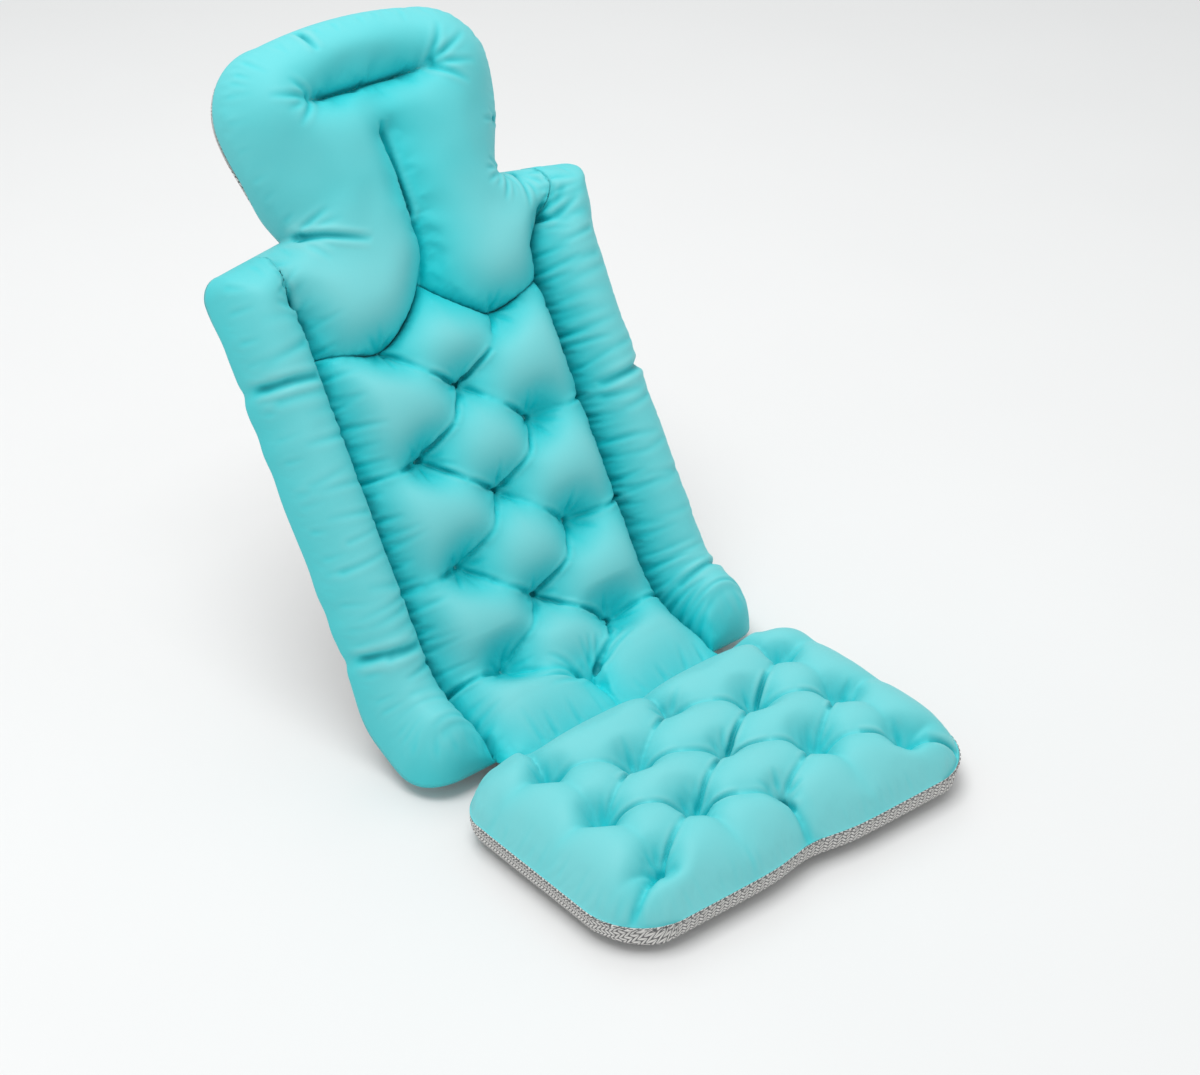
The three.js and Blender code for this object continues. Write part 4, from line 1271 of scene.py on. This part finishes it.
class BATHMAT_OT_backing(bpy.types.Operator):
    """Lays the knitted backing under seat, back and head"""

    bl_idname = "bathmat.backing"
    bl_label = "Knitted backing"

    def execute(self, context):
        z, p = plan(), padding()
        turn_up = np.append(TURN_UP, 1.0)
        close = p.backing_roll * turn_up
        plain = np.linspace(-z.seat_depth + 0.05, -0.004, 24)
        seat_rows = np.concatenate([-z.seat_depth - FLUSH + close, plain])
        seat = backing_shell("seat_mesh", seat_rows, lambda s: seat_half(s + FLUSH) + FLUSH, seat_base)
        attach(seat, "seat")
        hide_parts("seat_backing")
        foot = z.foot_tip + z.foot_corner * turn_up
        shoulder = z.shoulder - z.shoulder_corner * turn_up[::-1]
        lower = np.linspace(0.004, z.foot_tip - 0.0003, 4)
        plain = np.linspace(foot[-1], shoulder[0], 54)[1:-1]
        # In the shoulder's curve the back's mesh ends on the row where the head's begins
        back_rows = np.concatenate([lower, foot, plain, shoulder[:6]])
        back = backing_shell("back_mesh", back_rows, lambda s: bolster_half(s - 0.008) - 0.010, back_base)
        fold_lumbar(back)
        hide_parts("back_backing", "lumbar_backing")
        top = z.head_top - close[::-1]
        plain = np.linspace(z.neck, top[0], 24)[1:]
        head_rows = np.concatenate([shoulder[5:], [z.neck], plain, top[1:]])
        head = backing_shell("head_mesh", head_rows, lambda s: mat_half(s) - 0.004, mat_base, z.head_arch)
        fold_neck(head)
        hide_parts("head_backing")
        return {"FINISHED"}


def cup_profile():
    """Half section of a suction cup, from the button's middle over the neck and skirt to the hollow, rounded
    by cutting each corner in two twice."""
    outline = np.array(
        [
            [0.0, 15.2], [6.6, 15.2], [7.9, 14.6], [7.9, 13.5], [4.0, 13.3],
            [4.0, 8.9], [8.6, 8.7], [14.5, 7.0], [19.8, 3.9], [23.9, 1.1],
            [23.9, 0.1], [20.6, 0.0], [16.0, 2.6], [9.5, 4.6], [0.0, 5.6],
        ]
    )
    for _ in range(2):
        a, b = outline[:-1], outline[1:]
        cut = np.stack([0.75 * a + 0.25 * b, 0.25 * a + 0.75 * b], 1).reshape(-1, 2)
        outline = np.vstack([outline[:1], cut, outline[-1:]])
    return outline * 0.001


def suction_cup(name, x, s):
    """A cup turned about its axis and set on the ground at a point of the plan."""
    z = plan()
    section = cup_profile()[1:-1]
    turns = 40
    angle = np.linspace(0, 2 * np.pi, turns, endpoint=False)
    r, h = section.T
    ring = np.stack([np.outer(r, np.cos(angle)), np.outer(r, np.sin(angle)), np.outer(h, np.ones(turns))], -1)
    points = np.vstack([ring.reshape(-1, 3), [[0, 0, h[0]], [0, 0, h[-1]]]])
    turn = np.clip((s - z.bend_start) / (z.bend_radius - NEUTRAL), 0, z.bend_angle)
    c, n = math.cos(turn), math.sin(turn)
    points = points @ np.array([[1, 0, 0], [0, c, n], [0, -n, c]]) + lay(np.array([[x, s, 0.0]]))
    k = np.arange(len(r) * turns).reshape(len(r), turns)
    on = np.roll(k, -1, 1)
    sides = np.stack([k[:-1], k[1:], on[1:], on[:-1]], -1).reshape(-1, 4)
    first, last = len(r) * turns, len(r) * turns + 1
    caps = [[first, a, b] for a, b in zip(k[0], on[0])] + [[last, b, a] for a, b in zip(k[-1], on[-1])]
    piece = new_piece(name, points, [*sides, *caps])
    piece.data.materials.append(clear_vinyl())
    return piece


class BATHMAT_OT_cups(bpy.types.Operator):
    """Sets the ten suction cups under the backing"""

    bl_idname = "bathmat.cups"
    bl_label = "Suction cups"

    def execute(self, context):
        for body, row, x, s in CUPS:
            for side, sign in (("left", -1), ("right", 1)):
                node = "_".join(part for part in (body, "cup", row, side) if part)
                piece = suction_cup("clear_" + node, sign * x, s)
                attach(piece, body)
                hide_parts(node)
        return {"FINISHED"}


def bars(name, places, along, lengths, radius):
    """Stitches as low-sided bars with pointed ends: places and along are points and unit directions in the
    frame, lengths one for all or one for each, and each bar lies half sunk."""
    up = np.array([0.0, 0.0, 1.0])
    side = np.cross(along, up)
    side /= np.linalg.norm(side, axis=1, keepdims=True)
    lift = np.cross(side, along)
    angle = np.linspace(0, 2 * np.pi, 6, endpoint=False)
    ring = side[:, None] * np.cos(angle)[:, None] + lift[:, None] * np.sin(angle)[:, None]
    reach = (along * np.reshape(lengths, (-1, 1)) / 2)[:, None]
    body, around = 0.6 * reach, radius * ring
    middle = places[:, None]
    loops = [middle - reach, middle - body + around, middle + body + around, middle + reach]
    points = np.concatenate(loops, 1)
    k = np.arange(6)
    on = (k + 1) % 6
    sides = np.stack([1 + k, 1 + on, 7 + on, 7 + k], 1)
    tips = np.vstack([np.stack([0 * k, 1 + on, 1 + k], 1), np.stack([0 * k + 13, 7 + k, 7 + on], 1)])
    first = 14 * np.arange(len(places))[:, None, None]
    faces = [*(sides + first).reshape(-1, 4), *(tips + first).reshape(-1, 3)]
    return new_piece(name, points.reshape(-1, 3), faces)


def on_cover(pads, x, s):
    """Where the cover lies over a point of the plan, and the direction up the mat there."""
    high, low = drape(np.array([[x, s, 0.15], [x, s, 0.0]]))
    ahead, behind = drape(np.array([[x, s + 0.002, 0.04], [x, s - 0.002, 0.04]]))
    down = Vector(low - high).normalized()
    found = [pad.ray_cast(Vector(high), down) for pad in pads]
    hits = [np.array(hit[1]) for hit in found if hit[0]]
    if not hits:
        raise RuntimeError(f"no cover over the stitch at {x:.4f}, {s:.4f}")
    top = min(hits, key=lambda hit: np.linalg.norm(hit - high))
    return top, (ahead - behind) / np.linalg.norm(ahead - behind)


class BATHMAT_OT_stitching(bpy.types.Operator):
    """Sews the tufts, the cross seam of the head and the seat's seam"""

    bl_idname = "bathmat.stitching"
    bl_label = "Stitching"

    def execute(self, context):
        z, p = plan(), padding()
        pads = {name: bpy.data.objects[name] for name in ("seat_pad", "back_pad", "head_pillow")}
        places = np.array([on_cover([pads["seat_pad"]], *at)[0] for at in seat_tufts()])
        slant = np.repeat([[0.7, 0.7, 0], [0.7, -0.7, 0]], len(places), axis=0)
        knots = bars("seat_tacks", np.vstack([places, places]), slant, *SEAT_KNOT)
        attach(knots, "seat")
        spots = [on_cover([pads["back_pad"], pads["head_pillow"]], *at) for at in back_tufts()]
        places, along = (np.array(part) for part in zip(*spots))
        tacks = bars("back_tacks", places, along, *BACK_STITCH)
        fold_lumbar(tacks)
        half = 0.94 * z.cross_seam_width / 2
        across = np.linspace(-half, half, HEAD_STITCHES)
        places = np.array([on_cover([pads["head_pillow"]], x, z.cross_seam)[0] for x in across])
        level = np.tile([1.0, 0, 0], (len(places), 1))
        cross = bars("head_stitches", places, level, *HEAD_STITCH)
        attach(cross, "head")
        for piece in (knots, tacks, cross):
            piece.data.materials.append(thread())
        rim = closed_rim(seat_outline()[:3], SEAM_STEP)
        rim = rim[rim[:, 1] < -z.seat_rear_corner]
        ahead = np.roll(rim, -1, 0)
        joined = np.hypot(*(ahead - rim).T) < 2 * SEAM_STEP
        out = inward(rim, SEAM_INSET)
        height = np.full(len(rim), p.seat_seam - SEAM_DROP)
        ends = [np.column_stack([part, height])[joined] for part in (out, out + ahead - rim)]
        a, b = (drape(end) for end in ends)
        gap = np.linalg.norm(b - a, axis=1, keepdims=True)
        lengths = SEAM_SHARE * gap[:, 0]
        seam = bars("seat_seam_stitches", (a + b) / 2, (b - a) / gap, lengths, SEAM_RADIUS)
        seam.data.materials.append(seam_thread())
        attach(seam, "seat")
        return {"FINISHED"}


# Materials


class Net:
    """A tree of shader nodes, with short ways to add to it."""

    def __init__(self, tree):
        self.nodes = tree.nodes
        self.link = tree.links.new
        self.shader = tree.nodes.get("Principled BSDF")

    def node(self, kind, **values):
        """A new node with its settings and socket values: names that the node lacks are sockets."""
        made = self.nodes.new(kind)
        for name, value in values.items():
            if hasattr(made, name):
                setattr(made, name, value)
            else:
                made.inputs[name.replace("_", " ")].default_value = value
        return made

    def maths(self, operation, first, second=None):
        """A maths node on one or two values, each a number or a socket."""
        made = self.node("ShaderNodeMath", operation=operation)
        for socket, value in zip(made.inputs, (first, second)):
            if isinstance(value, bpy.types.NodeSocket):
                self.link(value, socket)
            elif value is not None:
                socket.default_value = value
        return made.outputs[0]

    def texture(self, kind, **values):
        """A texture over the piece's own coordinates."""
        made = self.node(kind, **values)
        self.link(self.node("ShaderNodeTexCoord").outputs["Object"], made.inputs["Vector"])
        return made.outputs["Fac"]

    def plan_map(self):
        """The plan coordinates of a piece."""
        return self.node("ShaderNodeUVMap", uv_map="Plan").outputs[0]

    def attribute(self, name):
        """A value that the mesh carries at its points."""
        return self.node("ShaderNodeAttribute", attribute_name=name).outputs["Fac"]

    def tones(self, factor, first, second):
        """A mix by a factor of two colours, or of a socket and a colour, into the shader's colour."""
        made = self.node("ShaderNodeMix", data_type="RGBA")
        self.link(factor, made.inputs["Factor"])
        for socket, value in zip(made.inputs[6:8], (first, second)):
            if isinstance(value, bpy.types.NodeSocket):
                self.link(value, socket)
            else:
                socket.default_value = (*value, 1)
        self.link(made.outputs[2], self.shader.inputs["Base Color"])
        return made.outputs[2]

    def relief(self, height, strength, depth):
        """A bump by a height, over any that the shader has already."""
        made = self.node("ShaderNodeBump", Strength=strength, Distance=depth)
        self.link(height, made.inputs["Height"])
        normal = self.shader.inputs["Normal"]
        for before in normal.links:
            self.link(before.from_socket, made.inputs["Normal"])
        self.link(made.outputs[0], normal)

    def roughness(self, value, low, high):
        """A 0 to 1 value spread between two limits, into the shader's roughness."""
        spread = self.node("ShaderNodeMapRange", To_Min=low, To_Max=high)
        self.link(value, spread.inputs["Value"])
        self.link(spread.outputs[0], self.shader.inputs["Roughness"])

    def plain(self, **values):
        """Plain values of the shader's other sockets."""
        for name, value in values.items():
            self.shader.inputs[name.replace("_", " ")].default_value = value


def new_material(name):
    """An empty node material, with its net of nodes."""
    material = bpy.data.materials.new(name)
    material.use_nodes = True
    return material, Net(material.node_tree)


def weave():
    """Shared group: threads over and under each other, as a height from 0 to 1 over the plan map."""
    if "Plain Weave" in bpy.data.node_groups:
        return bpy.data.node_groups["Plain Weave"]
    group = bpy.data.node_groups.new("Plain Weave", "ShaderNodeTree")
    group.interface.new_socket("Plan", in_out="INPUT", socket_type="NodeSocketVector")
    threads = group.interface.new_socket("Threads", in_out="INPUT", socket_type="NodeSocketFloat")
    threads.default_value = 1500
    group.interface.new_socket("Height", in_out="OUTPUT", socket_type="NodeSocketFloat")
    net = Net(group)
    start, end = net.node("NodeGroupInput"), net.node("NodeGroupOutput")
    apart = net.node("ShaderNodeSeparateXYZ")
    net.link(start.outputs["Plan"], apart.inputs[0])
    rate = net.maths("MULTIPLY", start.outputs["Threads"], math.pi)
    turns = [net.maths("MULTIPLY", apart.outputs[k], rate) for k in (0, 1)]
    over = [net.maths("SINE", turn) for turn in turns]
    both = net.maths("MULTIPLY", *over)
    net.link(net.maths("MULTIPLY_ADD", both, 0.5), end.inputs["Height"])
    return group


def fabric():
    """Smooth polyester with a soft sheen and a fine weave: painted highlight makes it paler on a crown,
    painted shade deeper in the valleys and painted shadow dark inside tight folds, with an uneven dye and
    faint crumples."""
    if "Polyester Cover" in bpy.data.materials:
        return bpy.data.materials["Polyester Cover"]
    material, net = new_material("Polyester Cover")
    c = finish()
    noise = "ShaderNodeTexNoise"
    dye = net.texture(noise, Scale=16.0, Detail=3.0, Roughness=0.55)
    crumple = net.texture(noise, Scale=60.0, Detail=3.0, Roughness=0.5, Distortion=0.5)
    uneven = net.maths("MULTIPLY", net.maths("SUBTRACT", dye, 0.5), 0.25)
    # Painted highlight and shade: paler colour on the crowns, deeper colour in the valleys, with a real
    # uneven dye over it.
    openness_and_painted_light = net.maths("POWER", net.attribute("CrownPaintedLight"), 2.0)
    dye_and_painted_light = net.tones(net.maths("ADD", openness_and_painted_light, uneven), c.fabric_painted_shade, c.fabric)
    # Painted shadow: darker colour inside tight folds and along the partings.
    fold = net.maths("MULTIPLY", net.attribute("FoldPaintedShadow"), 0.70)
    net.tones(fold, dye_and_painted_light, c.fabric_painted_fold_shadow)
    threads = net.node("ShaderNodeGroup", node_tree=weave())
    net.link(net.plan_map(), threads.inputs["Plan"])
    net.relief(crumple, 0.05, 0.0025)
    net.relief(threads.outputs[0], 0.12, 0.0003)
    net.roughness(crumple, 0.50, 0.62)
    net.plain(Specular_IOR_Level=0.32)
    net.plain(Sheen_Weight=0.06, Sheen_Roughness=0.45, Sheen_Tint=(0.9, 1.0, 1.0, 1))
    return material


def knit():
    """Grey knitted spacer mesh: upright columns of slanted stitches, leaning turn by turn to either side,
    with dark gaps between them."""
    if "Knitted Mesh" in bpy.data.materials:
        return bpy.data.materials["Knitted Mesh"]
    material, net = new_material("Knitted Mesh")
    c = finish()
    apart = net.node("ShaderNodeSeparateXYZ")
    net.link(net.plan_map(), apart.inputs[0])
    column = net.maths("DIVIDE", apart.outputs[0], KNIT_COLUMN)
    fold = net.maths("PINGPONG", column, 1.0)
    row = net.maths("DIVIDE", apart.outputs[1], KNIT_ROW)
    slanted = net.maths("FRACT", net.maths("ADD", row, fold))
    stitch = net.maths("SINE", net.maths("MULTIPLY", slanted, math.pi))
    ribs = net.maths("ABSOLUTE", net.maths("SINE", net.maths("MULTIPLY", column, math.pi)))
    yarn = net.maths("MULTIPLY", stitch, net.maths("POWER", ribs, 0.35))
    light = net.node("ShaderNodeMapRange", interpolation_type="SMOOTHSTEP", From_Min=0.22, From_Max=0.62)
    net.link(yarn, light.inputs["Value"])
    net.tones(light.outputs[0], c.knit_dark, c.knit_light)
    net.relief(yarn, 0.8, 0.0009)
    net.roughness(yarn, 0.95, 0.72)
    net.plain(Sheen_Weight=0.15)
    return material


def twisted(name, tint):
    """Sewing thread: slanted ridges of its twist, darker between them."""
    if name in bpy.data.materials:
        return bpy.data.materials[name]
    material, net = new_material(name)
    c = np.array(tint)
    twist = net.texture("ShaderNodeTexWave", Scale=900.0, Distortion=1.5, bands_direction="DIAGONAL")
    net.tones(twist, c * 0.72, np.minimum(c * 1.15, 1))
    net.relief(twist, 0.5, 0.0003)
    net.roughness(twist, 0.7, 0.45)
    return material


def thread():
    return twisted("Cover Thread", finish().thread)


def seam_thread():
    return twisted("Seam Thread", finish().seam_thread)


def clear_vinyl():
    """Clear soft vinyl with a faintly uneven skin."""
    if "Clear Vinyl" in bpy.data.materials:
        return bpy.data.materials["Clear Vinyl"]
    material, net = new_material("Clear Vinyl")
    c = np.array(finish().clear)
    skin = net.texture("ShaderNodeTexNoise", Scale=120.0, Detail=2.0)
    net.tones(skin, c * 0.94, c)
    net.roughness(skin, 0.10, 0.24)
    net.relief(skin, 0.12, 0.001)
    net.plain(Transmission_Weight=0.85, IOR=1.45)
    return material


class BATHMAT_OT_stage(bpy.types.Operator):
    """Sets the floor, the lights and the camera"""

    bl_idname = "bathmat.stage"
    bl_label = "Stage"

    def execute(self, context):
        scene = context.scene
        floor = new_piece("floor", [(-40, -40, 0), (40, -40, 0), (40, 40, 0), (-40, 40, 0)], [(0, 1, 2, 3)])
        material, net = new_material("Pale Floor")
        c = np.array(finish().floor)
        grain = net.texture("ShaderNodeTexNoise", Scale=3.0, Detail=2.0)
        net.tones(grain, c * 0.985, c * 1.015)
        net.plain(Roughness=0.7)
        floor.data.materials.append(material)
        camera = bpy.data.objects.new("camera", bpy.data.cameras.new("camera"))
        camera.data.lens = 64.533
        camera.data.sensor_width = 36
        camera.location = (-0.99299, -1.19051, 1.26514)
        camera.rotation_euler = (math.radians(56.0), 0, math.radians(-39.07))
        scene.collection.objects.link(camera)
        scene.camera = camera
        world = bpy.data.worlds.new("studio")
        world.use_nodes = True
        sky = world.node_tree.nodes["Background"]
        sky.inputs["Color"].default_value = (1, 1, 1, 1)
        sky.inputs["Strength"].default_value = 0.62
        scene.world = world
        for name, place, size, power in LAMPS:
            lamp = bpy.data.objects.new(name, bpy.data.lights.new(name, "AREA"))
            lamp.data.energy = power
            lamp.data.size = size
            lamp.location = place
            lamp.rotation_euler = (LAMP_AIM - lamp.location).to_track_quat("-Z", "Y").to_euler()
            scene.collection.objects.link(lamp)
        scene.view_settings.view_transform = "Standard"
        return {"FINISHED"}


class BATHMAT_PT_panel(bpy.types.Panel):
    """Lists the mat's pieces"""

    bl_label = "Bath Mat"
    bl_idname = "BATHMAT_PT_panel"
    bl_space_type = "VIEW_3D"
    bl_region_type = "UI"
    bl_category = "Bath Mat"

    def draw(self, context):
        for operator in STEPS:
            self.layout.operator(operator.bl_idname)


STEPS = [
    BATHMAT_OT_seat,
    BATHMAT_OT_back,
    BATHMAT_OT_backing,
    BATHMAT_OT_cups,
    BATHMAT_OT_stitching,
    BATHMAT_OT_stage,
]
GROUPS = {PLAN: BathMatPlan, PADDING: BathMatPadding, FINISH: BathMatFinish}
CLASSES = [*GROUPS.values(), *STEPS, BATHMAT_PT_panel]


def register():
    for cls in CLASSES:
        bpy.utils.register_class(cls)
    for name, group in GROUPS.items():
        setattr(bpy.types.Scene, name, bpy.props.PointerProperty(type=group))


def unregister():
    for name in GROUPS:
        delattr(bpy.types.Scene, name)
    for cls in reversed(CLASSES):
        bpy.utils.unregister_class(cls)


def main():
    register()
    bpy.ops.bathmat.seat()
    bpy.ops.bathmat.back()
    bpy.ops.bathmat.backing()
    bpy.ops.bathmat.cups()
    bpy.ops.bathmat.stitching()
    bpy.ops.bathmat.stage()


if __name__ == "__main__":
    main()
